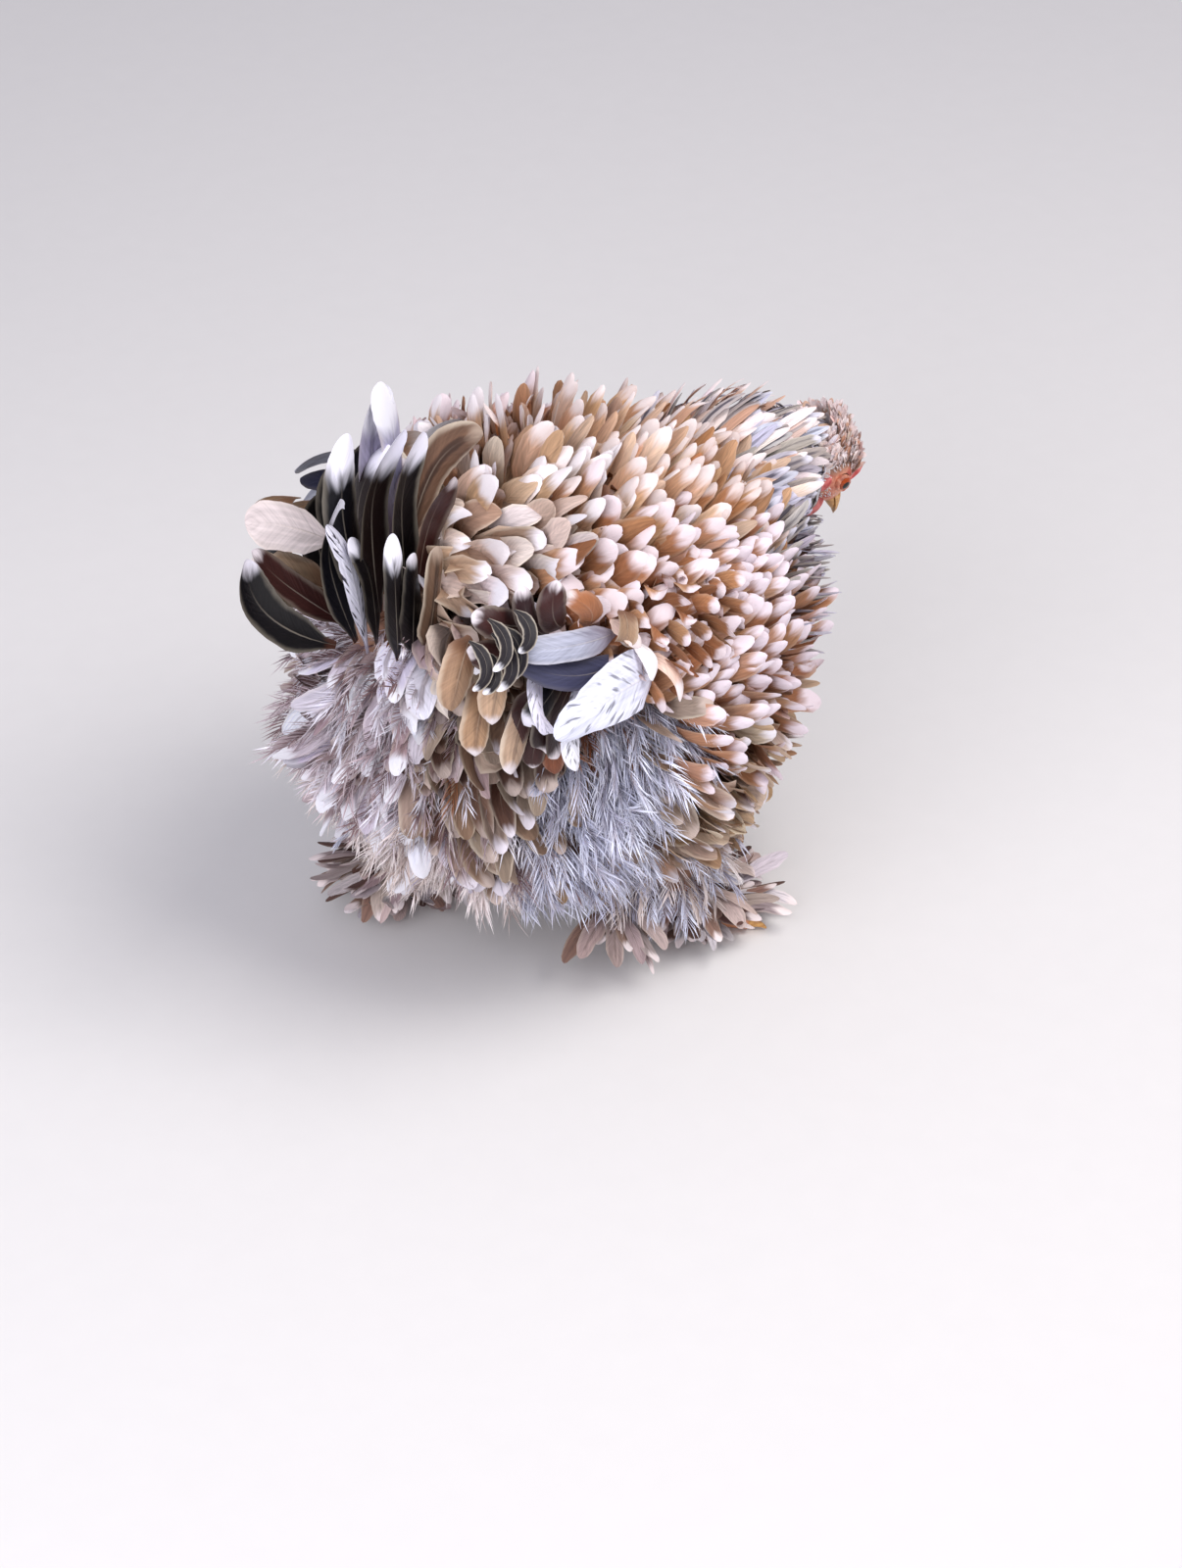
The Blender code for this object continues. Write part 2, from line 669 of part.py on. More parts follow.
def make_slab(name, foot):
    """A block below the floor, to flatten what bears on it."""
    wide, deep = 0.08, 0.03
    corners = [[x, y, z] for x in (-wide, wide) for y in (-wide, wide) for z in (-deep, 0.0)]
    points = np.array(corners) + foot
    faces = [
        (0, 1, 3), (0, 3, 2), (4, 6, 7), (4, 7, 5), (0, 4, 5), (0, 5, 1),
        (2, 3, 7), (2, 7, 6), (0, 2, 6), (0, 6, 4), (1, 5, 7), (1, 7, 3),
    ]
    return make_object(name, points, faces)


# Claw stations: how far past the toe, height over the floor, radius
CLAW = ((0.0, 0.0031, 0.0018), (0.0035, 0.0030, 0.0015), (0.0068, 0.0016, 0.0006))


def make_claw(side_name, index):
    """A short claw that carries on from a toe and curves to the floor."""
    _, end, heading = toe_line(side_name, index)
    start = end + heading * (TOE_RADIUS * TOE_TAPER[-1] * DOME + GAP * 2)
    path = [start + heading * along + UP * height for along, height, _ in CLAW]
    return limb(f"claw_{side_name}_{index + 1}", path, [radius for _, _, radius in CLAW], columns=7, steps=2)


# Feather tracts of the torso: place (forward, out, up), growth along the skin, way the tip points, length, width,
# outline
TRACTS = (
    ((0.55, 0.00, 0.85), (-1.0, 0.2, 0.2), (0.80, 0.10, 0.60), 0.056, 0.024, PETAL),
    ((0.00, 0.25, 1.00), (-1.0, 0.2, 0.0), (0.65, 0.15, 0.70), 0.058, 0.025, PETAL),
    ((-0.60, 0.25, 0.85), (-1.0, 0.3, 0.0), (0.45, 0.25, 0.80), 0.056, 0.025, PETAL),
    ((0.60, 0.75, 0.45), (-1.0, 0.0, -0.2), (0.85, 0.40, 0.30), 0.044, 0.021, PETAL),
    ((0.10, 0.90, 0.50), (-1.0, 0.2, 0.0), (0.65, 0.55, 0.55), 0.048, 0.023, PETAL),
    ((-0.50, 0.85, 0.40), (-0.8, 0.0, -0.6), (0.10, 0.80, -0.40), 0.048, 0.024, PETAL),
    ((-0.75, 0.60, 0.00), (-0.7, 0.0, -0.7), (-0.35, 0.45, -0.80), 0.048, 0.024, PETAL),
    ((-1.00, 0.15, 0.10), (-0.3, 0.3, -0.9), (-0.85, 0.25, -0.40), 0.050, 0.024, PETAL),
    ((1.00, 0.10, 0.10), (0.0, 0.2, -1.0), (0.95, 0.15, -0.20), 0.050, 0.023, PETAL),
    ((0.80, 0.60, -0.20), (-0.3, 0.2, -1.0), (0.75, 0.45, -0.50), 0.048, 0.023, PETAL),
    ((0.65, 0.35, -0.75), (-0.5, 0.1, -0.8), (0.30, 0.30, -0.90), 0.044, 0.024, LOCK),
    ((0.00, 0.85, -0.50), (-0.2, 0.0, -1.0), (0.00, 0.45, -0.90), 0.048, 0.026, LOCK),
    ((-0.70, 0.45, -0.60), (-0.6, 0.0, -0.8), (-0.50, 0.35, -0.80), 0.048, 0.026, LOCK),
    ((0.00, 0.00, -1.00), (-1.0, 0.0, -0.2), (-0.50, 0.00, -0.85), 0.032, 0.028, LOCK),
)
TRACT_SPREAD = 0.34
TORSO_VANES = 155


def tract_mix(direction):
    """Growth, tip direction, length, width and outline of the coat at a place, blended from the nearest tracts."""
    side = 1.0 if direction[1] >= 0 else -1.0
    here = unit(direction * [1, side, 1])
    places = unit(np.array([tract[0] for tract in TRACTS]))
    weight = np.exp(-(np.linalg.norm(places - here, axis=1) ** 2) / TRACT_SPREAD**2)
    weight /= weight.sum()
    growth = weight @ np.array([tract[1] for tract in TRACTS]) * [1, side, 1]
    tip = weight @ np.array([tract[2] for tract in TRACTS]) * [1, side, 1]
    length = weight @ np.array([tract[3] for tract in TRACTS])
    width = weight @ np.array([tract[4] for tract in TRACTS])
    return growth, tip, length, width, TRACTS[int(weight.argmax())][5]


def spiral_directions(count):
    """Directions spread evenly over a sphere on a golden-angle spiral about the fore-and-aft axis."""
    index = np.arange(count) + 0.5
    along = 1 - 2 * index / count
    turn = index * math.pi * (3 - math.sqrt(5))
    across = np.sqrt(1 - along**2)
    return np.stack([along, across * np.cos(turn), across * np.sin(turn)], -1)


def torso_vanes(thicket, rng):
    """The curled coat of the torso, back first, each vane standing off the skin."""
    directions = unit(spiral_directions(TORSO_VANES) / BODY_HALF * BODY_HALF.mean())
    order = np.argsort(-directions[:, 2])
    vanes = []
    for direction in directions[order]:
        growth, tip, length, width, outline = tract_mix(direction)
        normal = body_normal(direction)
        along = unit(growth - normal * (growth @ normal))
        start = unit(normal * 0.66 + along * 0.75)
        vary = rng.uniform(-1, 1, 3)
        length *= 1 + 0.08 * vary[0]
        width *= 1 + 0.08 * vary[1]
        end = unit(tip + 0.10 * np.cross(normal, along) * vary[2])
        place = body_point(direction)
        vanes.append(set_vane(thicket, "torso", place, normal, start, end, length, width, outline, SUNK))
    return vanes


NECK_ROWS = (
    (0.16, 11, 0.046, 0.020),
    (0.36, 11, 0.042, 0.019),
    (0.55, 10, 0.036, 0.016),
    (0.73, 9, 0.024, 0.013),
    (0.90, 8, 0.012, 0.010),
)


def neck_vanes(thicket, rng):
    """Hackles in rows round the neck, which curl forward towards the head."""
    knots = np.linspace(0, 1, len(NECK_PATH))
    vanes = []
    for row, (share, count, length, width) in enumerate(NECK_ROWS):
        centre = smooth_weights(knots, share) @ NECK_PATH
        ahead = smooth_weights(knots, min(share + 0.05, 1)) @ NECK_PATH
        radius = smooth_weights(knots, share) @ np.array(NECK_RADII)
        heading = unit(ahead - centre)
        upward = unit(np.cross(heading, LEFT))
        for index in range(count):
            turn = 2 * math.pi * (index + 0.5 * (row % 2)) / count + rng.uniform(-0.06, 0.06)
            normal = upward * math.cos(turn) + LEFT * math.sin(turn)
            start = unit(normal * 0.80 - heading * 0.20)
            end = unit(normal * 0.25 + heading * 1.00)
            place = centre + normal * radius
            vanes.append(set_vane(thicket, "neck", place, normal, start, end, length, width, PETAL, SUNK))
    return vanes


# Tail layers, rear to front: how many, spread to each side and lean back in degrees, how far down the root lies,
# length, width
TAIL_LAYERS = (
    (3, 50, 80, 0.85, 0.050, 0.024),
    (4, 72, 48, 0.60, 0.072, 0.026),
    (5, 80, 14, 0.20, 0.090, 0.027),
    (4, 52, 4, 0.15, 0.094, 0.027),
    (4, 60, -10, 0.12, 0.078, 0.026),
    (3, 36, -24, 0.20, 0.062, 0.024),
)
TAIL_LAYER_STEP = 0.0030


def tail_vanes(thicket):
    """The tail: layers of broad feathers that fan from side to side and curl forward over the saddle."""
    vanes = []
    middle = (len(TAIL_LAYERS) - 1) / 2
    for layer, (count, spread, lean, drop, length, width) in enumerate(TAIL_LAYERS):
        for index in range(count):
            share = (index / (count - 1)) * 2 - 1
            side, back = math.radians(spread) * share, math.radians(lean)
            rise = UP * math.cos(back) - FORWARD * math.sin(back)
            curl = FORWARD * math.cos(back) + UP * math.sin(back)
            start = unit(rise * math.cos(side) + LEFT * math.sin(side) - curl * 0.10)
            end = unit(start + curl * 0.80 + LEFT * 0.25 * share)
            inside = TAIL_TOP + (TAIL_ROOT - TAIL_TOP) * drop + LEFT * 0.004 * share
            place = thicket.skin_point("tail", inside + FORWARD * TAIL_LAYER_STEP * (layer - middle), start)
            size = length * (1 - 0.15 * abs(share))
            vanes.append(
                set_vane(thicket, "tail", place, curl, start, end, size, width, RECTRIX, SUNK, roots_join=True)
            )
    return vanes


# Wing feather tiers: how many, where they start and end along the pad, height, way they point, length, width
WING_TIERS = (
    (6, -0.036, 0.004, 0.044, (-0.88, 0.36, -0.36), 0.050, 0.017),
    (6, -0.030, 0.020, 0.054, (-0.88, 0.40, -0.08), 0.044, 0.017),
    (5, -0.022, 0.034, 0.065, (-0.60, 0.60, 0.45), 0.032, 0.017),
    (4, 0.012, 0.036, 0.050, (-0.30, 0.80, -0.30), 0.026, 0.016),
)


def wing_vanes(thicket, side_name):
    """Flight feathers and coverts in tiers, ragged and bent outwards at the tips."""
    side = SIDES[side_name]
    vanes = []
    for count, rear, front, height, way, length, width in WING_TIERS:
        for index in range(count):
            share = index / (count - 1)
            forward = rear + (front - rear) * share
            out = np.interp(forward, WING_PATH[::-1, 0], WING_PATH[::-1, 1]) + WING_OUT
            place = wing_place(side, (forward, out, height + 0.006 * share))
            start = unit(np.array([way[0] - 0.25, side * (way[1] + 0.30), way[2] * 0.5]))
            end = unit(np.array([way[0], way[1] * side, way[2]]))
            node = f"wing_{side_name}"
            vanes.append(set_vane(thicket, node, place, LEFT * side, start, end, length, width, QUILL, SUNK))
    return vanes


# Rings of down on a leg: how far from the hock up to the middle of the thigh, how many locks, length, width
LEG_RINGS = ((0.15, 8, 0.026, 0.019), (0.62, 7, 0.036, 0.026), (1.10, 5, 0.040, 0.028))


def leg_vanes(thicket, side_name):
    """Downy locks that hang round the leg in rings, down over the hock."""
    side = SIDES[side_name]
    path = leg_path(side_name)
    vanes = []
    for row, (share, count, length, width) in enumerate(LEG_RINGS):
        for index in range(count):
            turn = 2 * math.pi * (index + 0.5 * (row % 2)) / count
            out = np.array([math.sin(turn), side * math.cos(turn), 0.0])
            radius = np.interp(share, [0.0, 1.0], LEG_RADII[:0:-1])
            place = path[2] + (path[1] - path[2]) * share + out * radius * 0.97
            start = unit(out * 0.75 - UP * 0.6)
            end = unit(out * 0.20 - UP)
            vanes.append(set_vane(thicket, f"leg_{side_name}", place, out, start, end, length, width, LOCK, SUNK))
    return vanes


# Boot feathers: turn from the outward side in degrees, height of the root, length, tip's rise
BOOTS = (
    (-70, 0.012, 0.044, 0.03),
    (-44, 0.017, 0.050, 0.05),
    (-18, 0.011, 0.052, 0.02),
    (8, 0.018, 0.050, 0.05),
    (34, 0.011, 0.052, 0.02),
    (60, 0.017, 0.050, 0.05),
    (88, 0.012, 0.046, 0.02),
    (118, 0.017, 0.040, 0.05),
)


def foot_vanes(thicket, side_name):
    """Long boot feathers that splay out from the shank, just over the floor."""
    side = SIDES[side_name]
    foot = FOOT_RIGHT if side_name == "right" else FOOT_LEFT
    vanes = []
    for turn_degrees, height, length, rise in BOOTS:
        turn = math.radians(turn_degrees)
        out = np.array([-math.sin(turn), side * math.cos(turn), 0.0])
        place = foot + out * 0.0048 + UP * height
        start = unit(out + UP * 0.25)
        end = unit(out - UP * (0.30 - rise))
        vanes.append(
            set_vane(thicket, f"foot_{side_name}", place, out, start, end, length, BOOT_WIDTH, QUILL, BOOT_SUNK)
        )
    return vanes


# Edges sharper than this stay sharp when a node is shaded smooth
SHARP_DEGREES = 40
# Finishes: colour, roughness
FINISHES = {
    "torso": ((0.62, 0.42, 0.27), 0.75),
    "neck": ((0.72, 0.62, 0.48), 0.75),
    "head": ((0.62, 0.30, 0.20), 0.65),
    "beak": ((0.62, 0.42, 0.16), 0.40),
    "comb": ((0.66, 0.13, 0.12), 0.50),
    "wattle": ((0.66, 0.10, 0.10), 0.50),
    "earlobe": ((0.64, 0.12, 0.12), 0.50),
    "eye": ((0.20, 0.05, 0.02), 0.10),
    "wing": ((0.80, 0.78, 0.76), 0.65),
    "tail": ((0.10, 0.08, 0.09), 0.50),
    "leg": ((0.55, 0.50, 0.48), 0.85),
    "foot": ((0.52, 0.42, 0.34), 0.65),
    "claw": ((0.55, 0.47, 0.38), 0.40),
}


def dress(obj):
    """Gives a node smooth shading and its own material, by the kind of piece that it is."""
    obj.data.shade_smooth()
    obj.data.set_sharp_from_angle(angle=math.radians(SHARP_DEGREES))
    kind = obj.name.split("_")[0]
    colour, roughness = FINISHES[kind]
    material = bpy.data.materials.new(obj.name)
    material.use_nodes = True
    shader = material.node_tree.nodes["Principled BSDF"]
    shader.inputs["Base Color"].default_value = (*colour, 1.0)
    shader.inputs["Roughness"].default_value = roughness
    shader.inputs["Metallic"].default_value = 0.0
    obj.data.materials.clear()
    obj.data.materials.append(material)


def make_cores():
    """Every node's core, each cut clear of the one that it grows from."""
    cores = {"torso": make_torso("torso")}
    cores["neck"] = apply_boolean(make_neck("neck"), [make_torso("room", GAP)], "DIFFERENCE")
    cores["head"] = make_head()
    cores.update(make_bill())
    cores["comb"] = make_comb()
    cores["tail"] = apply_boolean(make_tail_core("tail"), [make_torso("room", GAP)], "DIFFERENCE")
    for side_name in SIDES:
        cores[f"wattle_{side_name}"] = make_wattle(side_name)
        cores[f"earlobe_{side_name}"] = make_earlobe(side_name)
        eye = eye_centre(SIDES[side_name])
        cores[f"eye_{side_name}"] = make_ball(f"eye_{side_name}", eye, [EYE_RADIUS] * 3, head_axes(), 7, 14)
        rooms = [make_torso("room", GAP), make_neck("neck_room", GAP)]
        cores[f"wing_{side_name}"] = apply_boolean(make_wing(side_name), rooms, "DIFFERENCE")
        leg = apply_boolean(make_leg(side_name), [make_torso("room", GAP)], "DIFFERENCE")
        cores[f"leg_{side_name}"] = leg
        cores[f"foot_{side_name}"] = make_foot(side_name)
        for index in range(len(TOES)):
            cores[f"claw_{side_name}_{index + 1}"] = make_claw(side_name, index)
    for obj in cores.values():
        keep_largest(obj)
    return cores


def main():
    """Builds the cores, sets the feathers clear of one another, and joins each node's pieces."""
    clear_scene()
    rng = np.random.default_rng(SEED)
    cores = make_cores()
    thicket = Thicket(cores)
    vanes = {"tail": tail_vanes(thicket)}
    for side_name in SIDES:
        vanes[f"wing_{side_name}"] = wing_vanes(thicket, side_name)
        vanes[f"foot_{side_name}"] = foot_vanes(thicket, side_name)
    vanes["neck"] = neck_vanes(thicket, rng)
    vanes["torso"] = torso_vanes(thicket, rng)
    for side_name in SIDES:
        vanes[f"leg_{side_name}"] = leg_vanes(thicket, side_name)
    for node, pieces in vanes.items():
        pieces = [piece for piece in pieces if piece is not None]
        apply_boolean(cores[node], pieces, "UNION", "MANIFOLD")
        keep_largest(cores[node])
    for obj in cores.values():
        dress(obj)


main()
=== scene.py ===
"""Looks of a still, life-size hen with curled feathers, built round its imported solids.

One closed skin stands for the flesh. The coat over it is made of thin closed vanes, and of down made of fine closed
blades. Both are worked out as whole arrays from small tables: where on the skin a tract of feathers lies, which way
it grows and curls, and how it is coloured. Lengths are metres, +X is the way the hen faces, +Y its left, +Z up.
"""

import enum
import json
import logging
import math
from collections.abc import Sequence
from dataclasses import dataclass, field, fields
from typing import ClassVar

import bpy
import numpy as np
from mathutils import Matrix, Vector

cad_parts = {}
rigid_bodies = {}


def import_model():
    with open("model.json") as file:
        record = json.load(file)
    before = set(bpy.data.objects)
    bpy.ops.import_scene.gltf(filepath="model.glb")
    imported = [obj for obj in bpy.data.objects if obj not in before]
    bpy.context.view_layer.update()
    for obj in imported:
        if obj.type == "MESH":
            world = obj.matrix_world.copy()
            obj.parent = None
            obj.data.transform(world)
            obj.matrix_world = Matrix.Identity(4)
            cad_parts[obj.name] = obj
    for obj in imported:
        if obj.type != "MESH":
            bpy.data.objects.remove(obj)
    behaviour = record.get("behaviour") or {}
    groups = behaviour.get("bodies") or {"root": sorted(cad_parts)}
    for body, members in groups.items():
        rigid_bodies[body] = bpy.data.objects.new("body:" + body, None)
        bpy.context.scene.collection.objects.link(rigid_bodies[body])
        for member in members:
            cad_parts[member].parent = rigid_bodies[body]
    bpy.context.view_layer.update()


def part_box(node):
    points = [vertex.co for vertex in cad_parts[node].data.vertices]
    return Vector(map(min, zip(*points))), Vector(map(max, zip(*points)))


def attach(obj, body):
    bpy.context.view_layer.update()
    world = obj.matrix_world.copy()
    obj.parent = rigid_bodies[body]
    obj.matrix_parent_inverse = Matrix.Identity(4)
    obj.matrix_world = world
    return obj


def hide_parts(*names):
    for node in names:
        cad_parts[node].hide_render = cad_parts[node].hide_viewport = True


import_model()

Array = np.ndarray
Number = np.ndarray | float
Random = np.random.Generator
Object = bpy.types.Object
Pair = tuple[float, float]
Triple = tuple[float, float, float]
LOG = logging.getLogger("hen")

# Driving sizes, as in the part's own source
BODY_CENTRE = np.array([-.0154, 0.0, .135])
BODY_HALF = np.array([.099, .077, .083])
CUSHION_RISE = .010
SKIN_DEPTH = .006
HEAD_CENTRE = BODY_CENTRE + np.array([.149, 0.0, .059])
HEAD_PITCH = math.radians(66)
HEAD_FORWARD = np.array([math.cos(HEAD_PITCH), 0.0, -math.sin(HEAD_PITCH)])
HEAD_UP = np.array([math.sin(HEAD_PITCH), 0.0, math.cos(HEAD_PITCH)])
EYE_RADIUS = .0044
FEET = {side: BODY_CENTRE * [1, 1, 0] + np.array(place)
        for side, place in {"right": (.050, -.046, 0.0), "left": (-.056, .042, 0.0)}.items()}
HOCK_HEIGHT = .034
TOE_RADIUS = .0042
FLOOR_CLEAR = .0004
FORWARD, LEFT, UP = np.eye(3)
SIDES = {"right": -1.0, "left": 1.0}
# Size of one strand's own patch on the bake's map
BAKE_PATCH = .003
# The colours that a feather carries. A blade of down has the first alone
MARKINGS = ("ground", "tip", "mark", "style")
SEED = 23


def unit(vector: Array) -> Array:
    """Each vector of the last axis at length one."""
    vector = np.asarray(vector, float)
    return vector / np.maximum(np.linalg.norm(vector, axis=-1, keepdims=True), 1e-12)


def smooth(value: Array, low: Number, high: Number) -> Array:
    """0 below low, 1 above high, and the cubic 3x^2 - 2x^3 between them."""
    share = np.clip((value - low) / (high - low), 0, 1)
    return share * share * (3 - 2 * share)


def linear(colours: Array) -> Array:
    """Colours given from 0 to 255 as a screen shows them, as linear light from 0 to 1."""
    return (np.asarray(colours, float) / 255) ** 2.2


def circle(count: int) -> Array:
    """Even turns round a circle, in radians."""
    return np.linspace(0, 2 * math.pi, count, endpoint=False)


def golden(index: Array) -> Array:
    """Turns of a golden-angle spiral, in radians."""
    return index * math.pi * (3 - math.sqrt(5))


def catmull(knots: Array, shares: Array) -> Array:
    """Points of a Catmull-Rom curve: cubic blends of the four nearest knots, with the end knots held.

    Args:
        knots: one row for each knot.
        shares: how far along the curve each point lies, 0 to 1.

    Returns:
        One row for each share.
    """
    knots = np.asarray(knots, float)
    last = len(knots) - 1
    place = np.clip(np.asarray(shares, float), 0, 1) * last
    index = np.minimum(place.astype(int), last - 1)
    part = (place - index).reshape(-1, *[1] * (knots.ndim - 1))
    before, here, after, beyond = (knots[np.clip(index + step, 0, last)] for step in (-1, 0, 1, 2))
    square = part**2 * (before - 2.5 * here + 2 * after - .5 * beyond)
    return here + .5 * part * (after - before) + square + part**3 * (1.5 * (here - after) + .5 * (beyond - before))


def mirrored(points: Array, side: float) -> Array:
    """Points or vectors with their second number turned to a side."""
    return np.asarray(points, float) * np.array([1.0, side, 1.0])


def folded(way: Array) -> tuple[Array, Array]:
    """Directions brought over to the left side, and what turns each one back."""
    flip = np.where(way[:, 1:2] < 0, [[1.0, -1.0, 1.0]], [[1.0, 1.0, 1.0]])
    return way * flip, flip


def head_point(forward: Number, side: Number, up: Number) -> Array:
    """Points of the head's own frame: towards the bill, to the hen's left, towards the comb."""
    forward, side, up = np.broadcast_arrays(forward, side, up)
    return HEAD_CENTRE + HEAD_FORWARD * forward[..., None] + LEFT * side[..., None] + HEAD_UP * up[..., None]


def drift(way: Array, rng: Random, pitch: float = 4.5) -> Array:
    """Slow random vectors over the body: a sum of eight plane waves through the directions."""
    waves, pushes = rng.normal(0, pitch, (8, 3)), rng.normal(0, .5, (8, 3))
    return np.sin(way @ waves.T + rng.uniform(0, 2 * math.pi, 8)) @ pushes


def nearness(here: Array, tracts: Sequence["Tract"], reach: float) -> Array:
    """How much each tract counts at each direction: bell curves of the distance, which add up to one.

    Args:
        here: directions from the body's middle, forward, outward and upward.
        tracts: the tracts, each round its own place.
        reach: how wide the bells are.

    Returns:
        Directions by tracts.
    """
    places = unit(np.array([tract.place for tract in tracts]))
    weight = np.exp(-((np.linalg.norm(here[:, None] - places[None], axis=-1) / reach) ** 2)) + 1e-9
    return weight / weight.sum(1, keepdims=True)


def blended(tracts: Sequence["Tract"], weight: Array, name: str) -> Array:
    """One of the tracts' values, blended by how much each counts."""
    return weight @ np.array([getattr(tract, name) for tract in tracts], float)


def chosen_by(weight: Array, rng: Random) -> Array:
    """The number of one tract for each direction, picked by the square of how much it counts."""
    weight = weight**2
    return (np.cumsum(weight, 1) / weight.sum(1, keepdims=True) < rng.random((len(weight), 1))).sum(1)


# Meshes


@dataclass
class MeshArrays:
    """A mesh as arrays: points, the vertex numbers of its quads and triangles, and by name, for each vertex, its place
    on UV maps and its red, green, blue and alpha in colour attributes."""

    points: Array
    quads: Array
    triangles: Array
    maps: dict[str, Array] = field(default_factory=dict)
    colours: dict[str, Array] = field(default_factory=dict)

    def outward(self) -> "MeshArrays":
        """The same mesh with its faces turned so that its volume counts as positive."""
        halves = np.concatenate([self.triangles, self.quads[:, :3], self.quads[:, [0, 2, 3]]])
        corners = self.points[halves]
        if np.einsum("ij,ij->i", corners[:, 0], np.cross(corners[:, 1], corners[:, 2])).sum() < 0:
            self.quads, self.triangles = self.quads[:, ::-1], self.triangles[:, ::-1]
        return self

    def to_object(self, name: str, sharp: float = 50) -> Object:
        """Puts the arrays into a new smooth-shaded object.

        Args:
            name: the object's name.
            sharp: edges that bend by more degrees than this stay sharp.

        Returns:
            The object, linked to the scene.
        """
        mesh = bpy.data.meshes.new(name)
        corners = np.concatenate([self.quads.ravel(), self.triangles.ravel()])
        mesh.from_pydata(self.points, [], self.quads.tolist() + self.triangles.tolist())
        for label, values in self.maps.items():
            layer = mesh.uv_layers.new(name=label, do_init=False)
            layer.uv.foreach_set("vector", values[corners].astype(np.float32).ravel())
        for label, values in self.colours.items():
            attribute = mesh.color_attributes.new(label, "FLOAT_COLOR", "POINT")
            attribute.data.foreach_set("color", values.astype(np.float32).ravel())
        mesh.shade_smooth()
        mesh.set_sharp_from_angle(angle=math.radians(sharp))
        return linked(bpy.data.objects.new(name, mesh))

    def piece(self, name: str, finish: "Finish", slot: str, *nodes: str, sharp: float = 50) -> Object:
        """The mesh as a finished piece, in the terms of finished and to_object."""
        return finished(self.to_object(name, sharp), finish, slot, *nodes)


def linked(obj: Object) -> Object:
    """The same object, linked to the scene."""
    bpy.context.scene.collection.objects.link(obj)
    return obj


def tubes(rings: Array, starts: Array, ends: Array) -> MeshArrays:
    """Closed bodies through rings of points, as one mesh: quads between the rings, and a fan to a pole at each end.

    Args:
        rings: bodies by rings by points by 3.
        starts, ends: the poles of each body, whose vertices follow its rings.

    Returns:
        The mesh.
    """
    count, rows, columns = rings.shape[:3]
    row, column = np.meshgrid(np.arange(rows - 1), np.arange(columns), indexing="ij")
    here, beside = row * columns + column, row * columns + (column + 1) % columns
    quads = np.stack([here, beside, beside + columns, here + columns], -1).reshape(-1, 4)
    each, last, around = rows * columns + 2, (rows - 1) * columns, np.arange(columns)
    beside = (around + 1) % columns
    low = np.stack([np.full(columns, each - 2), beside, around], -1)
    high = np.stack([np.full(columns, each - 1), last + around, last + beside], -1)
    points = np.concatenate([rings.reshape(count, -1, 3), starts[:, None], ends[:, None]], 1)
    shift = (np.arange(count) * each)[:, None, None]
    fans = np.concatenate([low, high]) + shift
    return MeshArrays(points.reshape(-1, 3), (quads + shift).reshape(-1, 4), fans.reshape(-1, 3)).outward()


def tube(rings: Array, start: Array, end: Array) -> MeshArrays:
    """One closed body through rings of points, rows by columns by 3, with a pole at each end."""
    return tubes(rings[None], np.array([start]), np.array([end]))


def sphere(rows: int, columns: int) -> Array:
    """Unit directions on rings round the first axis, rows by columns by 3, without the poles."""
    polar, turn = np.linspace(0, math.pi, rows + 2)[1:-1, None], circle(columns)[None]
    ring = np.sin(polar)
    return np.stack([np.cos(polar) * np.ones_like(turn), ring * np.cos(turn), ring * np.sin(turn)], -1)


def ball(centre: Array, half: Array, axes: Array, rows: int, columns: int) -> MeshArrays:
    """A sphere stretched along three axes: centre plus each axis times its half size times the unit sphere."""
    rings = centre + (sphere(rows, columns) * half) @ axes
    return tube(rings, centre + axes[0] * half[0], centre - axes[0] * half[0])


# Shapes of the skin


@dataclass(frozen=True)
class Trunk:
    """The body's egg, with its middle and half sizes, and the cushion that rises behind and above."""

    centre: Array
    half: Array
    rise: float

    def point(self, way: Array) -> Array:
        """The surface in unit directions: the stretched sphere, raised by a bell curve behind the middle."""
        hump = np.clip(way[..., 2], 0, 1) * np.exp(-(((way[..., 0] + .55) / .5) ** 2))
        return self.centre + way * self.half + UP * (self.rise * hump)[..., None]

    def normal(self, way: Array) -> Array:
        """The outward normal in unit directions."""
        return unit(way / self.half)

    def unwrap(self, way: Array) -> Array:
        """Equal-area map: the turn about the fore-and-aft axis, and how far forward."""
        turn = np.arctan2(way[..., 1], -way[..., 2]) / (2 * math.pi) + .5
        return .01 + .98 * np.stack([turn, (way[..., 0] + 1) / 2], -1)

    def spread(self, count: int) -> Array:
        """Directions of a number of points spread evenly over the egg, on a golden-angle spiral."""
        index = np.arange(count) + .5
        along, turn = 1 - 2 * index / count, golden(index)
        ring = np.sqrt(1 - along**2)
        return unit(np.stack([along, ring * np.cos(turn), ring * np.sin(turn)], -1) * self.half.mean() / self.half)

    def mesh(self) -> MeshArrays:
        """The egg as a closed body with its poles front and back."""
        return tube(self.point(sphere(40, 56)), self.point(FORWARD), self.point(-FORWARD))


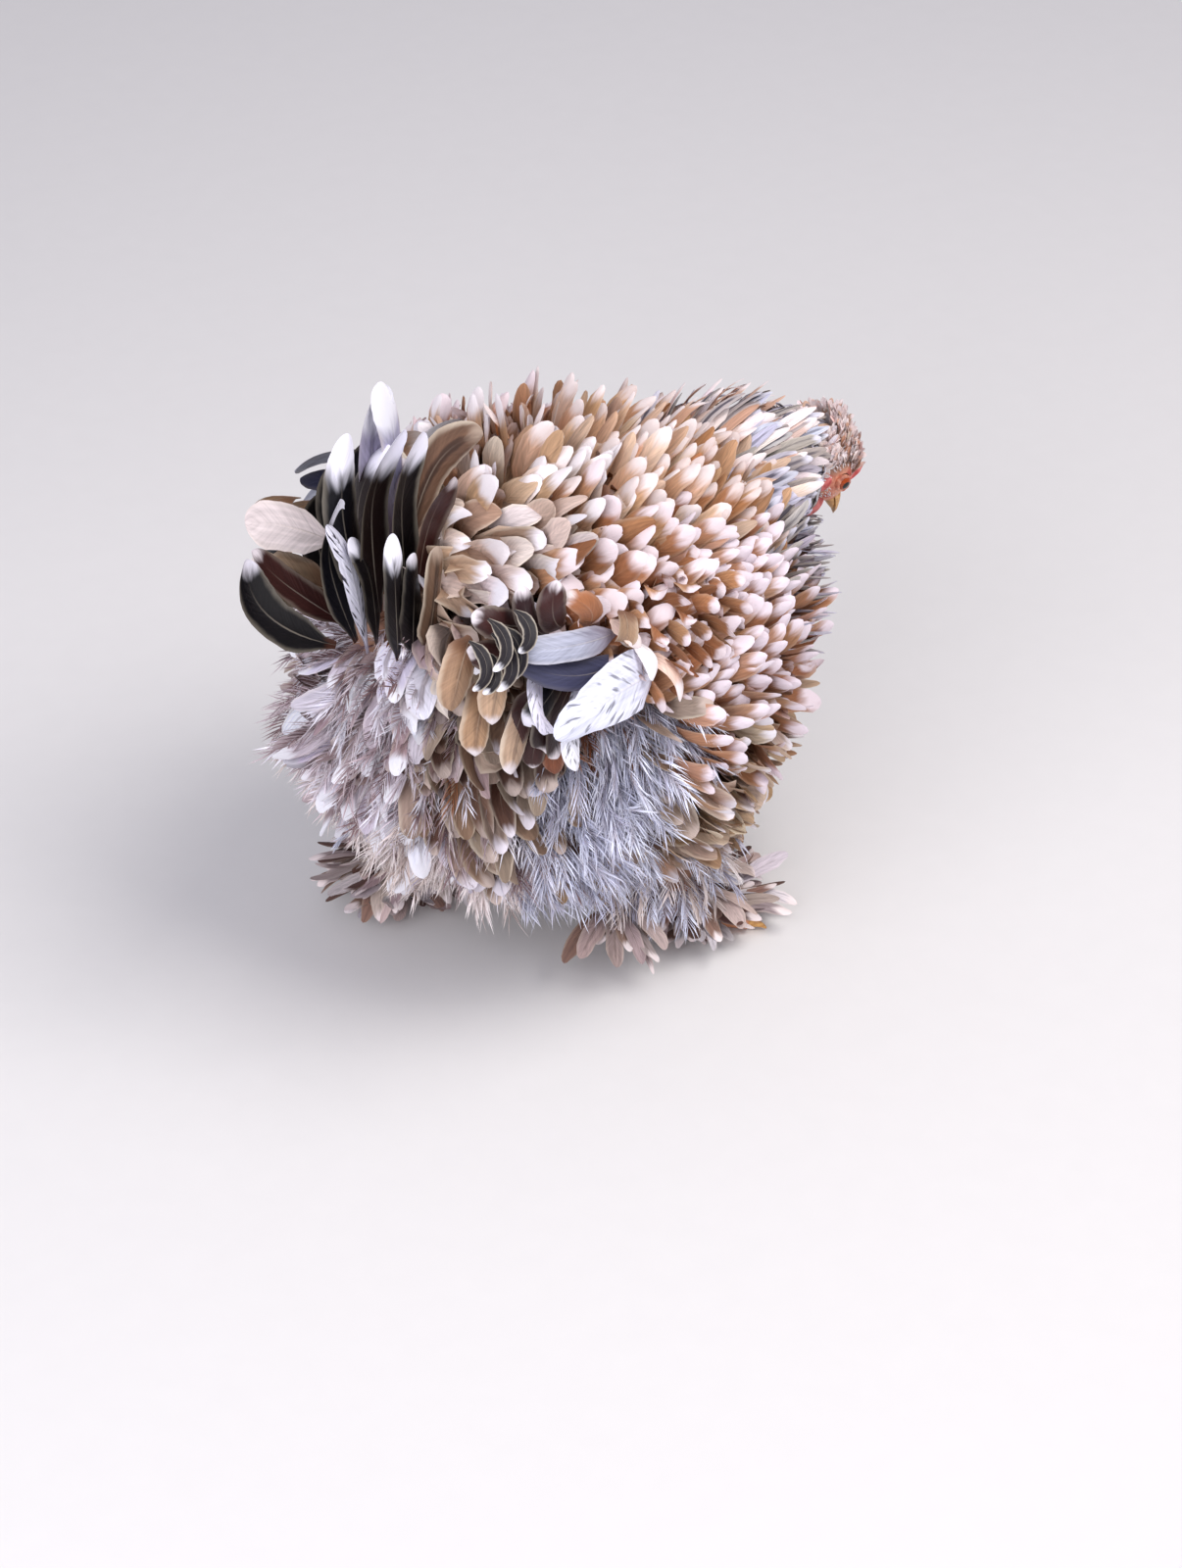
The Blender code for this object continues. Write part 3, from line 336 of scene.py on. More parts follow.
@dataclass(frozen=True)
class Limb:
    """A round limb along a smooth path with a radius at each knot. Its domed ends stand out by a share of theirs."""

    path: Array
    radii: tuple[float, ...]
    dome: float = .45

    def frame(self, shares: Array) -> tuple[Array, Array, Array, Array, Array]:
        """Middle, radius, heading, sideways and upward at each share of the length."""
        ahead, behind = (catmull(self.path, np.clip(shares + step, 0, 1)) for step in (.01, -.01))
        heading = unit(ahead - behind)
        sideways = unit(np.cross(heading, np.where(np.abs(heading[:, 2:3]) > .95, FORWARD, UP)))
        radius = catmull(np.array(self.radii), shares)
        return catmull(self.path, shares), radius, heading, sideways, np.cross(sideways, heading)

    def ring(self, shares: Array, turns: Array) -> tuple[Array, Array, Array]:
        """Surface points, normals and headings at pairs of share and turn: the middle plus the radius that way."""
        middle, radius, heading, sideways, upward = self.frame(shares)
        out = sideways * np.cos(turns)[:, None] + upward * np.sin(turns)[:, None]
        return middle + out * radius[:, None], out, heading

    def unwrap(self, shares: Array, turns: Array) -> Array:
        """The turn round the limb and the share of its length, as a map."""
        return .01 + .98 * np.stack([turns / (2 * math.pi) % 1, np.clip(shares, 0, 1)], -1)

    def mesh(self, rows: int = 20, columns: int = 24, ripple: float = 0.0) -> MeshArrays:
        """The limb as a closed body with domed ends.

        Args:
            rows, columns: how many rings it has, and how many points each.
            ripple: how far every other ring swells, as a share of its radius.

        Returns:
            The mesh.
        """
        middle, radius, heading, sideways, upward = self.frame(np.linspace(0, 1, rows))
        radius, turn = radius * (1 + ripple * np.cos(np.arange(rows) * math.pi)), circle(columns)
        across = sideways[:, None] * (radius[:, None] * np.cos(turn))[..., None]
        rings = middle[:, None] + across + upward[:, None] * (radius[:, None] * np.sin(turn))[..., None]
        dome = heading * radius[:, None] * self.dome
        return tube(rings, middle[0] - dome[0], middle[-1] + dome[-1])


TRUNK = Trunk(BODY_CENTRE, BODY_HALF - SKIN_DEPTH, CUSHION_RISE)
NECK = Limb(
    BODY_CENTRE + np.array([[.050, 0, .026], [.086, 0, .054], [.116, 0, .070], [.138, 0, .068]]),
    (.041, .032, .022, .0150),
)
TAIL_ROOT = Limb(
    BODY_CENTRE + np.array([[-.054, 0, .016], [-.078, 0, .036], [-.087, 0, .068]]), (.018, .015, .008)
)


def wing_pad(hand: str) -> Limb:
    """The flesh of a folded wing: a limb along the flank."""
    knots = np.array([[.038, .062, .060], [.014, .072, .058], [-.014, .074, .055], [-.036, .070, .052]])
    return Limb(BODY_CENTRE + mirrored(knots, SIDES[hand]), (.008, .013, .013, .008))


def leg_of(hand: str) -> Limb:
    """A side's leg from the hip to the hock, under its down: the knee lies a little outwards."""
    foot = FEET[hand]
    hip = BODY_CENTRE + (foot - BODY_CENTRE) * [.45, .95, 0.0] - UP * .054
    hock = np.array([foot[0] - .008, foot[1], HOCK_HEIGHT])
    return Limb(np.array([hip, (hip + hock) / 2 + LEFT * SIDES[hand] * .002, hock]), (.024, .020, .011))


# Feathers


@dataclass
class Strands:
    """Feathers or blades of down, one row of each array for each: where it leaves the skin, the ways it starts and
    ends, its sizes, its place on the unwrap of the skin, and its markings by 4 in linear light."""

    root: Array
    start: Array
    end: Array
    length: Array
    width: Array
    bake: Array
    colours: Array

    def __len__(self) -> int:
        """How many there are."""
        return len(self.root)

    def picked(self, chosen: Array) -> "Strands":
        """Those that a mask names."""
        return type(self)(**{item.name: getattr(self, item.name)[chosen] for item in fields(self)})

    def lines(self, stations: Array, power: float = 1.0, extra: Number = 0.0) -> tuple[Array, Array, Array]:
        """Middle lines: the sum of headings that turn from start towards end.

        Args:
            stations: how far along each strand the points lie, rising from 0.
            power: the power of the station that the turn grows by.
            extra: a further turn at each station.

        Returns:
            Middles and headings, strands by stations by 3, and the way that each strand bends.
        """
        start, end = unit(self.start), unit(self.end)
        cosine = np.clip((start * end).sum(-1), -.999, .999)
        bend = unit(end - start * cosine[:, None])
        angle = np.arccos(cosine)[:, None] * stations**power + extra
        heading = np.cos(angle)[..., None] * start[:, None] + np.sin(angle)[..., None] * bend[:, None]
        steps = (heading[:, 1:] + heading[:, :-1]) / 2 * (np.diff(stations) * self.length[:, None])[..., None]
        middle = self.root[:, None] + np.concatenate([np.zeros_like(steps[:, :1]), np.cumsum(steps, 1)], 1)
        return middle, heading, bend

    def closed(self, rings: Array, foot: Array, top: Array, across: Array, along: Array) -> MeshArrays:
        """Joins rings into closed strands over the floor, with their maps and colours.

        Args:
            rings: strands by rings by points by 3.
            foot, top: the poles of each strand.
            across: each point's place across the strand, 0 to 1.
            along: each ring's place along it.

        Returns:
            The mesh, with the map Vane across and along each strand, the map OFBake, and the colours.
        """
        mesh = tubes(rings, foot, top)
        mesh.points[:, 2] = np.maximum(mesh.points[:, 2], FLOOR_CLEAR)
        u = np.append(np.tile(across, len(along)), [.5, .5])
        v = np.append(np.repeat(along, len(across)), [0.0, 1.0])
        local = np.tile(np.stack([u, v], -1), (len(self), 1))
        mesh.maps = {"OFBake": np.repeat(self.bake, len(u), 0) + (local - .5) * BAKE_PATCH, "Vane": local}
        for label, colour in zip(MARKINGS, np.moveaxis(self.colours, 1, 0)):
            mesh.colours[label] = np.repeat(colour, len(u), 0)
        return mesh


@dataclass
class Vanes(Strands):
    """Feathers: also the way that the width lies at the root, how much further the tip rolls on (curl) and how much it
    twists (roll) in radians, the depth of the spoon shape as a share of half the width (cup, domed below 0), and where
    along it the rounded tip begins (blunt)."""

    across: Array
    curl: Array
    cup: Array
    roll: Array
    blunt: Array

    def bent(self, stations: Array) -> tuple[Array, Array, Array, Array]:
        """Middle lines whose tips roll on, and width directions that twist along them.

        Args:
            stations: how far along each feather the points lie, rising from 0.

        Returns:
            Middles, headings and width directions, feathers by stations by 3, and the way each one bends.
        """
        middle, heading, bend = self.lines(stations, 1.15, self.curl[:, None] * smooth(stations, .45, 1.0))
        across = unit(self.across[:, None] - heading * (heading * self.across[:, None]).sum(-1, keepdims=True))
        twist = (self.roll[:, None] * stations)[..., None]
        return middle, heading, across * np.cos(twist) + np.cross(heading, across) * np.sin(twist), bend


@dataclass(frozen=True)
class Variation:
    """How feathers of one kind differ: the lowest and highest factor of each value, how wide their twists spread, and
    what is added to where the rounded tip begins."""

    length: Pair
    width: Pair
    curl: Pair
    cup: Pair
    roll: float
    blunt: Pair

    def draw(self, count: int, rng: Random, **middle: Number) -> dict[str, Array]:
        """Draws the values, in the order of the fields.

        Args:
            count: how many feathers there are.
            rng: the source of the variation.
            middle: the values that are varied, 1 where they aren't given, and 0 for blunt.

        Returns:
            One array for each field.
        """
        drawn = {label: middle.get(label, 1.0) * rng.uniform(*getattr(self, label), count)
                 for label in ("length", "width", "curl", "cup")}
        roll = rng.normal(0, self.roll, count)
        return {**drawn, "roll": roll, "blunt": middle.get("blunt", 0.0) + rng.uniform(*self.blunt, count)}


@dataclass(frozen=True)
class VaneShape:
    """How finely a feather is built: stations along it and strips across, an even number, its thickness at the shaft,
    how uneven its edges are as a share of half its width, the share of feathers with a split edge, and where it
    reaches its full width, as a share of where its tip begins."""

    rows: int = 8
    columns: int = 4
    thick: float = .00035
    ragged: float = .05
    splits: float = .4
    swell: float = .85

    def outline(self, stations: Array, blunt: Array, rng: Random) -> Array:
        """Half widths at each station and side, as shares: a fast swell, then a quarter ellipse to the tip.

        Args:
            stations: how far along each feather the points lie.
            blunt: where each rounded tip begins.
            rng: the source of the uneven edges.

        Returns:
            Feathers by stations by 2 sides.
        """
        count, rows = len(blunt), len(stations)
        swell = .20 + .80 * smooth(stations[None], 0.0, blunt[:, None] * self.swell)
        cap = np.clip((stations[None] - blunt[:, None]) / (1 - blunt[:, None]), 0, 1)
        share = (swell * np.sqrt(1 - cap**2))[..., None]
        share = share * (1 + rng.uniform(-self.ragged, self.ragged, (count, rows, 2)))
        split_row = rng.integers(rows // 2, rows - 1, count)
        split_side = rng.integers(0, 2, count)
        depth = np.where(rng.random(count) < self.splits, rng.uniform(.72, .92, count), 1.0)
        share[np.arange(count), split_row, split_side] *= depth
        return share

    def grow(self, vanes: Vanes, rng: Random) -> MeshArrays:
        """The feathers as closed lenses: a spoon-shaped upper side and a flatter lower one that meets its edges.

        Across, a point lies at the middle line plus the width direction times its share of the half width. It is
        lifted along the face by the cup times the share to the power 1.8, and by a low ripple along the edge.

        Args:
            vanes: the feathers.
            rng: the source of the uneven edges.

        Returns:
            The mesh.
        """
        whole = 1 - (1 - np.linspace(0, 1, self.rows + 1)) ** 1.9
        middle, heading, across, bend = vanes.bent(whole)
        stations = whole[:-1]
        upper = np.linspace(-1, 1, self.columns + 1)
        shares = np.concatenate([upper, upper[-2:0:-1]])
        beneath = np.concatenate([np.zeros(len(upper)), np.ones(self.columns - 1)])
        half = self.outline(stations, vanes.blunt, rng) * (vanes.width / 2)[:, None, None]
        half = np.where(shares < 0, half[..., :1], half[..., 1:])
        face = np.cross(heading, across)[:, :-1]
        inner = np.sign((face[:, self.rows // 2] * bend).sum(-1))[:, None, None]
        ease = (.35 + .65 * stations)[None, :, None]
        lift = half * np.abs(shares) ** 1.8 * vanes.cup[:, None, None] * ease * inner
        phase = rng.uniform(0, 2 * math.pi, (len(vanes), 1, 1))
        lift += half * .10 * np.abs(shares) * np.sin(phase + 7 * stations[None, :, None] + 1.5 * np.sign(shares))
        lift -= beneath * self.thick * (1 - shares**2)
        rings = middle[:, :-1, None] + across[:, :-1, None] * (half * shares)[..., None]
        rings = rings + face[:, :, None] * lift[..., None]
        return vanes.closed(rings, middle[:, 0] - heading[:, 0] * .0004, middle[:, -1], shares / 2 + .5, stations)


@dataclass(frozen=True)
class Plumage:
    """How the feathers of a tract are coloured, with colours as a screen shows them, 0 to 255.

    Each takes one of the grounds and one of the tips. A tip takes up tip_size of the length, in tip_chance of the
    feathers. Band, stripe, rim and fleck are the strengths of a dark band below the tip, a stripe along the shaft, the
    paler edge and flecks, fluff is how far the soft darker base reaches, which is partly the feather's downy
    base and partly painted shade where the feathers above overlap it, and vary how much the lightness differs."""

    grounds: tuple[Triple, ...]
    tips: tuple[Triple, ...] = ((246, 232, 230),)
    tip_size: float = .2
    tip_chance: float = .8
    mark: Triple = (66, 46, 40)
    band: float = 0.0
    stripe: float = 0.0
    rim: float = .3
    fleck: float = 0.0
    fluff: float = .55
    vary: float = .10

    def dress(self, count: int, rng: Random) -> Array:
        """Colours of a number of feathers.

        Args:
            count: how many.
            rng: the source of the choices.

        Returns:
            For each: ground and a random number; tip and its size; mark and the band; stripe, rim, fleck and fluff, the
                reach of the dark base that is partly painted shade.
        """
        light = rng.uniform(1 - self.vary, 1 + self.vary, (count, 1))
        hue = rng.uniform(.96, 1.04, (count, 3))
        ground = linear(np.array(self.grounds)[rng.integers(0, len(self.grounds), count)]) * light * hue
        tip = linear(np.array(self.tips)[rng.integers(0, len(self.tips), count)])
        size = np.where(rng.random(count) < self.tip_chance, self.tip_size * rng.uniform(.7, 1.35, count), 0.0)
        mark = np.tile(linear(np.array(self.mark)), (count, 1))
        band = self.band * rng.uniform(0, 1, count)
        style = np.clip(np.array([self.stripe, self.rim, self.fleck]) * rng.uniform(.5, 1.2, (count, 3)), 0, 1)
        fluff = self.fluff * rng.uniform(.85, 1.15, count)
        parts = ([ground, rng.random(count)], [tip, size], [mark, band], [style, fluff])
        return np.stack([np.column_stack(part) for part in parts], 1)


class Dress(enum.Enum):
    """The colourings that the coat is made of."""

    BACK = Plumage(((184, 137, 99), (167, 115, 77), (194, 151, 117), (189, 159, 137)), ((229, 211, 206),), .11, .65,
        fluff=.62)
    CREST = Plumage(((206, 167, 136), (188, 144, 110), (215, 184, 158)), ((241, 227, 224),), .15, .8, fluff=.56)
    PINK = Plumage(((202, 172, 148), (186, 148, 118), (202, 182, 168)), ((244, 236, 238),), .16, .8, fluff=.6)
    SHOULDER = Plumage(((164, 114, 80), (174, 128, 96), (144, 94, 64)), ((238, 222, 226),), .15, .95, rim=.3,
        fluff=.6)
    SCALE = Plumage(((166, 120, 90), (152, 102, 72), (176, 134, 110)), ((240, 226, 234),), .14, 1, rim=.3, fluff=.6)
    OVAL = Plumage(((186, 156, 130), (168, 134, 104), (194, 172, 154)), ((236, 230, 236),), .11, .4,
        mark=(120, 88, 66), stripe=.3, rim=.9, fluff=.5)
    SADDLE = Plumage(((206, 188, 178), (188, 164, 146), (214, 200, 196), (164, 136, 114)), ((240, 235, 242),), .14,
        .6, rim=.95, fluff=.62)
    # Partly painted shade: the darkest ground and the dark mark stand partly for the brown of these feathers and partly
    # for the shade in the gaps between the wing and the tail.
    BEHIND = Plumage(((152, 132, 118), (130, 104, 86), (170, 150, 134), (84, 60, 50)), ((232, 224, 232),
        (200, 182, 172)), .1, .5, mark=(44, 28, 26), band=.3, rim=.95, fluff=.76)
    REAR = Plumage(((224, 218, 234), (192, 176, 182), (160, 138, 140), (208, 196, 206), (240, 240, 252)),
        ((248, 247, 253),), .16, .7, mark=(108, 84, 82), stripe=.5, rim=.5, fluff=.4)
    SHELL = Plumage(((176, 148, 122), (158, 128, 100)), ((232, 222, 224),), .1, .6, mark=(84, 60, 50), stripe=.5,
        rim=1, fluff=.5)
    HACKLE = Plumage(((184, 177, 174), (166, 156, 151), (194, 193, 210), (178, 172, 182)), ((226, 224, 238),), .09,
        .45, mark=(62, 58, 74), stripe=.8, rim=.5, fluff=.1)
    CROWN = Plumage(((206, 170, 150), (218, 192, 182), (196, 150, 126), (230, 216, 214)), tip_size=.16, fluff=.02)
    CHEEK = Plumage(((242, 234, 236), (238, 224, 220), (234, 202, 190)), tip_size=.3, fluff=.02)
    TAIL = Plumage(((16, 11, 14), (13, 12, 18), (30, 19, 18)), ((240, 238, 250),), .16, 1, mark=(170, 130, 92),
        rim=.35, fluff=.05, vary=.2)
    TAN = Plumage(((142, 116, 94), (158, 128, 102)), ((222, 212, 208),), .12, 1, mark=(70, 52, 44), stripe=.3,
        rim=.5)
    SEAL = Plumage(((104, 80, 64),), ((170, 150, 134),), .1, 1, mark=(34, 24, 26), stripe=1.1, rim=1, fluff=.2)
    COAL = Plumage(((15, 11, 15), (13, 10, 14)), ((228, 224, 234),), .07, 1, mark=(20, 16, 20), rim=.35, fluff=.1)
    PEARL = Plumage(((172, 170, 192),), ((250, 249, 255),), .3, 1, mark=(60, 56, 76), stripe=.4, rim=.6, fluff=.35)
    NIGHT = Plumage(((58, 60, 80), (64, 66, 88)), tip_chance=0, mark=(24, 22, 34), rim=.2, fluff=.2)
    UMBER = Plumage(((58, 32, 30), (44, 26, 28)), ((232, 222, 226),), .07, 1, mark=(24, 16, 20), rim=.3, fluff=.1)
    ARC = Plumage(((30, 24, 30),), ((244, 242, 250),), .1, 1, rim=3, fluff=0, vary=.03)
    WHITE = Plumage(((230, 232, 246),), tip_chance=0, mark=(44, 40, 52), rim=0, fleck=1, fluff=.1, vary=.03)
    BLUISH = Plumage(((166, 172, 186),), tip_chance=0, mark=(84, 90, 110), rim=.4, fleck=.55, vary=.03)
    RUST = Plumage(((116, 66, 44), (84, 48, 38), (150, 98, 66)), tip_size=.1, tip_chance=.3, fluff=.3)
    PAPER = Plumage(((212, 203, 200),), tip_chance=0, mark=(170, 148, 134), rim=.3, fluff=.2, vary=.03)
    BOOT = Plumage(((178, 158, 152), (134, 106, 94), (200, 192, 198), (92, 68, 62), (160, 142, 142)), tip_size=.14,
        tip_chance=.5, stripe=.3, rim=.4, fluff=.3, vary=.15)

    def colours(self, count: int, rng: Random) -> Array:
        """Colours of a number of feathers, as Plumage.dress gives them."""
        return self.value.dress(count, rng)


@dataclass(frozen=True)
class Tract:
    """Feathers that grow alike round a place on the body: the way from its middle, forward, outward and upward. Growth
    is how they grow along the skin, tip where their tips point, lift how steeply they leave the skin, and density how
    close they stand."""

    place: Triple
    growth: Triple
    tip: Triple
    length: float
    width: float
    lift: float
    curl: float
    cup: float
    blunt: float
    density: float
    dress: Dress


TRACTS = (
    Tract((.15, .15, .97), (-1, .1, 0), (.12, .02, .99), .058, .008, .92, .2, .3, .74, 1.2, Dress.CREST),
    Tract((.58, .22, .78), (-1, .1, .2), (.5, .05, .85), .054, .008, .9, .2, .3, .74, 1.2, Dress.BACK),
    Tract((-.15, .1, .98), (-1, .1, 0), (.1, .1, .99), .058, .01, .92, .3, .3, .74, .9, Dress.PINK),
    Tract((-.4, .38, .84), (-1, .2, 0), (.35, .7, 0), .052, .0145, .85, .8, -.4, .76, .9, Dress.SADDLE),
    Tract((.02, .66, .74), (-1, .2, 0), (.72, .35, .58), .053, .0118, .75, .3, .2, .76, .8, Dress.SHOULDER),
    Tract((.39, .7, .6), (-1, .1, -.1), (.7, .5, .48), .046, .0072, .75, .4, .2, .76, 1.2, Dress.SCALE),
    Tract((.45, .86, .26), (-1, .1, -.2), (.78, .55, .2), .047, .0088, .75, .4, .2, .76, 1.1, Dress.SCALE),
    Tract((.45, .85, -.2), (-.5, .1, -.8), (.52, .45, -.7), .05, .0165, .5, .2, .2, .66, 1, Dress.OVAL),
    Tract((.6, .7, -.42), (-.3, .1, -.9), (.45, .42, -.78), .048, .0165, .42, .2, .2, .66, 1.1, Dress.OVAL),
    Tract((.38, .84, -.42), (-.3, .1, -.9), (.36, .42, -.82), .048, .0165, .48, .2, .2, .66, 1.1, Dress.OVAL),
    Tract((.3, .68, -.68), (-.3, .1, -.9), (.3, .36, -.88), .046, .016, .45, .2, .2, .66, 1, Dress.OVAL),
    Tract((1, .15, .15), (0, .2, -1), (.96, .15, -.1), .048, .009, .6, .4, .2, .76, 1.1, Dress.SCALE),
    Tract((.9, .35, -.35), (-.2, .2, -1), (.75, .35, -.55), .05, .0155, .5, .3, .2, .66, 1, Dress.OVAL),
    Tract((-.55, .66, .5), (-.7, 0, -.7), (-.05, .8, -.55), .048, .0135, .7, .6, -.5, .76, .8, Dress.BEHIND),
    Tract((-.65, .73, .15), (-.5, 0, -.8), (-.2, .6, -.8), .05, .0115, .6, .4, -.5, .7, .8, Dress.BEHIND),
    Tract((-.92, .35, .1), (-.4, .2, -.9), (-.72, .35, -.6), .048, .0086, .5, .4, .2, .68, .6, Dress.REAR),
    Tract((-.97, .1, .3), (-.4, .2, -.8), (-.97, .15, -.15), .048, .009, .55, .4, .2, .68, .6, Dress.REAR),
    Tract((-.8, .42, .42), (-.6, .1, -.7), (-.7, .6, -.35), .034, .009, .5, .2, .3, .7, .15, Dress.REAR),
    Tract((-.87, .42, -.25), (-.5, .2, -.8), (-.6, .4, -.7), .04, .01, .5, .2, .3, .7, .12, Dress.REAR),
    Tract((-.2, .97, 0), (-.3, 0, -1), (-.1, .55, -.8), .038, .011, .5, .2, .3, .7, .05, Dress.BEHIND),
    Tract((-.12, .8, -.6), (-.2, 0, -1), (.1, .5, -.85), .038, .011, .5, .2, .3, .7, .06, Dress.OVAL),
    Tract((0, 0, -1), (-1, 0, 0), (-.4, 0, -.9), .03, .011, .5, .2, .3, .7, .03, Dress.OVAL),
)


@dataclass(frozen=True)
class Layer:
    """One of the coat's layers: how many places on the skin are tried, its feathers' size next to the tracts', the
    painted shade that its colours are multiplied by, which darkens and browns the lower layer in the gaps under the
    upper one, what the size of its pale tips is multiplied by, and how close it stands under the wing."""

    name: str
    count: int
    long: float
    wide: float
    shade: Triple
    tips: float
    beneath: float
    shape: VaneShape


@dataclass
class Coat:
    """The curled body feathers, in a lower layer that fills the gaps and an upper one.

    Reach is how far a tract's values carry, clearing how wide the thinner place under the wing is, full the density at
    which every place is kept, and crest how high up the back's piece begins."""

    layers: tuple[Layer, ...] = (
        # The lower layer's colours are multiplied down to a darker brown as painted shade of the gaps that it fills.
        Layer("lower", 3000, .72, 1.0, (.58, .48, .43), .5, .5, VaneShape(rows=6)),
        Layer("upper", 2700, 1.0, 1.1, (1.0, 1.0, 1.0), 1.0, .15, VaneShape(rows=9, ragged=.07, splits=.5)),
    )
    reach: float = .28
    wing: Triple = (-.24, .86, .46)
    clearing: float = .22
    full: float = 1.2
    crest: float = .72
    kind: Variation = Variation((.84, 1.08), (.80, 1.20), (.2, 2.4), (.5, 1.5), .42, (-.08, .04))

    def grown(self, layer: Layer, rng: Random) -> tuple[Vanes, Array]:
        """Sizes and ways blended from the tracts near each place, and colours from one of them.

        Args:
            layer: the layer.
            rng: the source of the variation.

        Returns:
            The feathers, and their directions from the body's middle.
        """
        way = TRUNK.spread(layer.count)
        way = unit(way + rng.normal(0, .35 / math.sqrt(layer.count), way.shape))
        here, flip = folded(way)
        weight = nearness(here, TRACTS, self.reach)
        mid = {item.name: blended(TRACTS, weight, item.name) for item in fields(Tract) if item.name != "dress"}
        apart = np.linalg.norm(here - unit(np.array(self.wing)), axis=-1)
        clearing = smooth(apart, self.clearing * .8, self.clearing * 1.5)
        kept = rng.random(len(way)) < mid["density"] * (layer.beneath + (1 - layer.beneath) * clearing) / self.full
        normal, growth, lift, count = TRUNK.normal(way), mid["growth"] * flip, mid["lift"][:, None], len(way)
        along = unit(growth - normal * (growth * normal).sum(-1, keepdims=True))
        loose = rng.normal(0, 1, (count, 3))
        slow = drift(way, rng)
        chosen = chosen_by(weight, rng)
        sizes = {"length": (mid["length"] + .003) * layer.long, "width": mid["width"] * layer.wide}
        drawn = self.kind.draw(count, rng, **sizes, **{label: mid[label] for label in ("curl", "cup", "blunt")})
        vanes = Vanes(
            root=TRUNK.point(way) - normal * .002,
            start=unit(normal * lift + along * (1.05 - lift) + loose * .06 + slow * .10),
            end=unit(unit(mid["tip"] * flip) + loose[::-1] * .10 + slow * .26),
            across=unit(np.cross(normal, along) + loose * .18),
            **drawn,
            bake=TRUNK.unwrap(way),
            colours=np.zeros((count, 4, 4)),
        )
        vanes.blunt = np.clip(vanes.blunt, .5, .9)
        for index, tract in enumerate(TRACTS):
            mine = chosen == index
            vanes.colours[mine] = tract.dress.colours(int(mine.sum()), rng)
        # Painted shade: ground and tip colours are multiplied by the layer's darkening factor.
        vanes.colours[:, :2, :3] *= layer.shade
        vanes.colours[:, 1, 3] *= layer.tips
        return vanes.picked(kept), way[kept]

    def build(self, rng: Random) -> None:
        """Makes each layer in three pieces: the back, and the right and left sides."""
        for layer in self.layers:
            vanes, way = self.grown(layer, rng)
            top, right = way[:, 2] > self.crest, way[:, 1] < 0
            for name, mask in {"back": top, "right": ~top & right, "left": ~top & ~right}.items():
                mesh = layer.shape.grow(vanes.picked(mask), rng)
                mesh.piece(f"coat_{layer.name}_{name}", PLUME_FINISH, "coat", "torso")


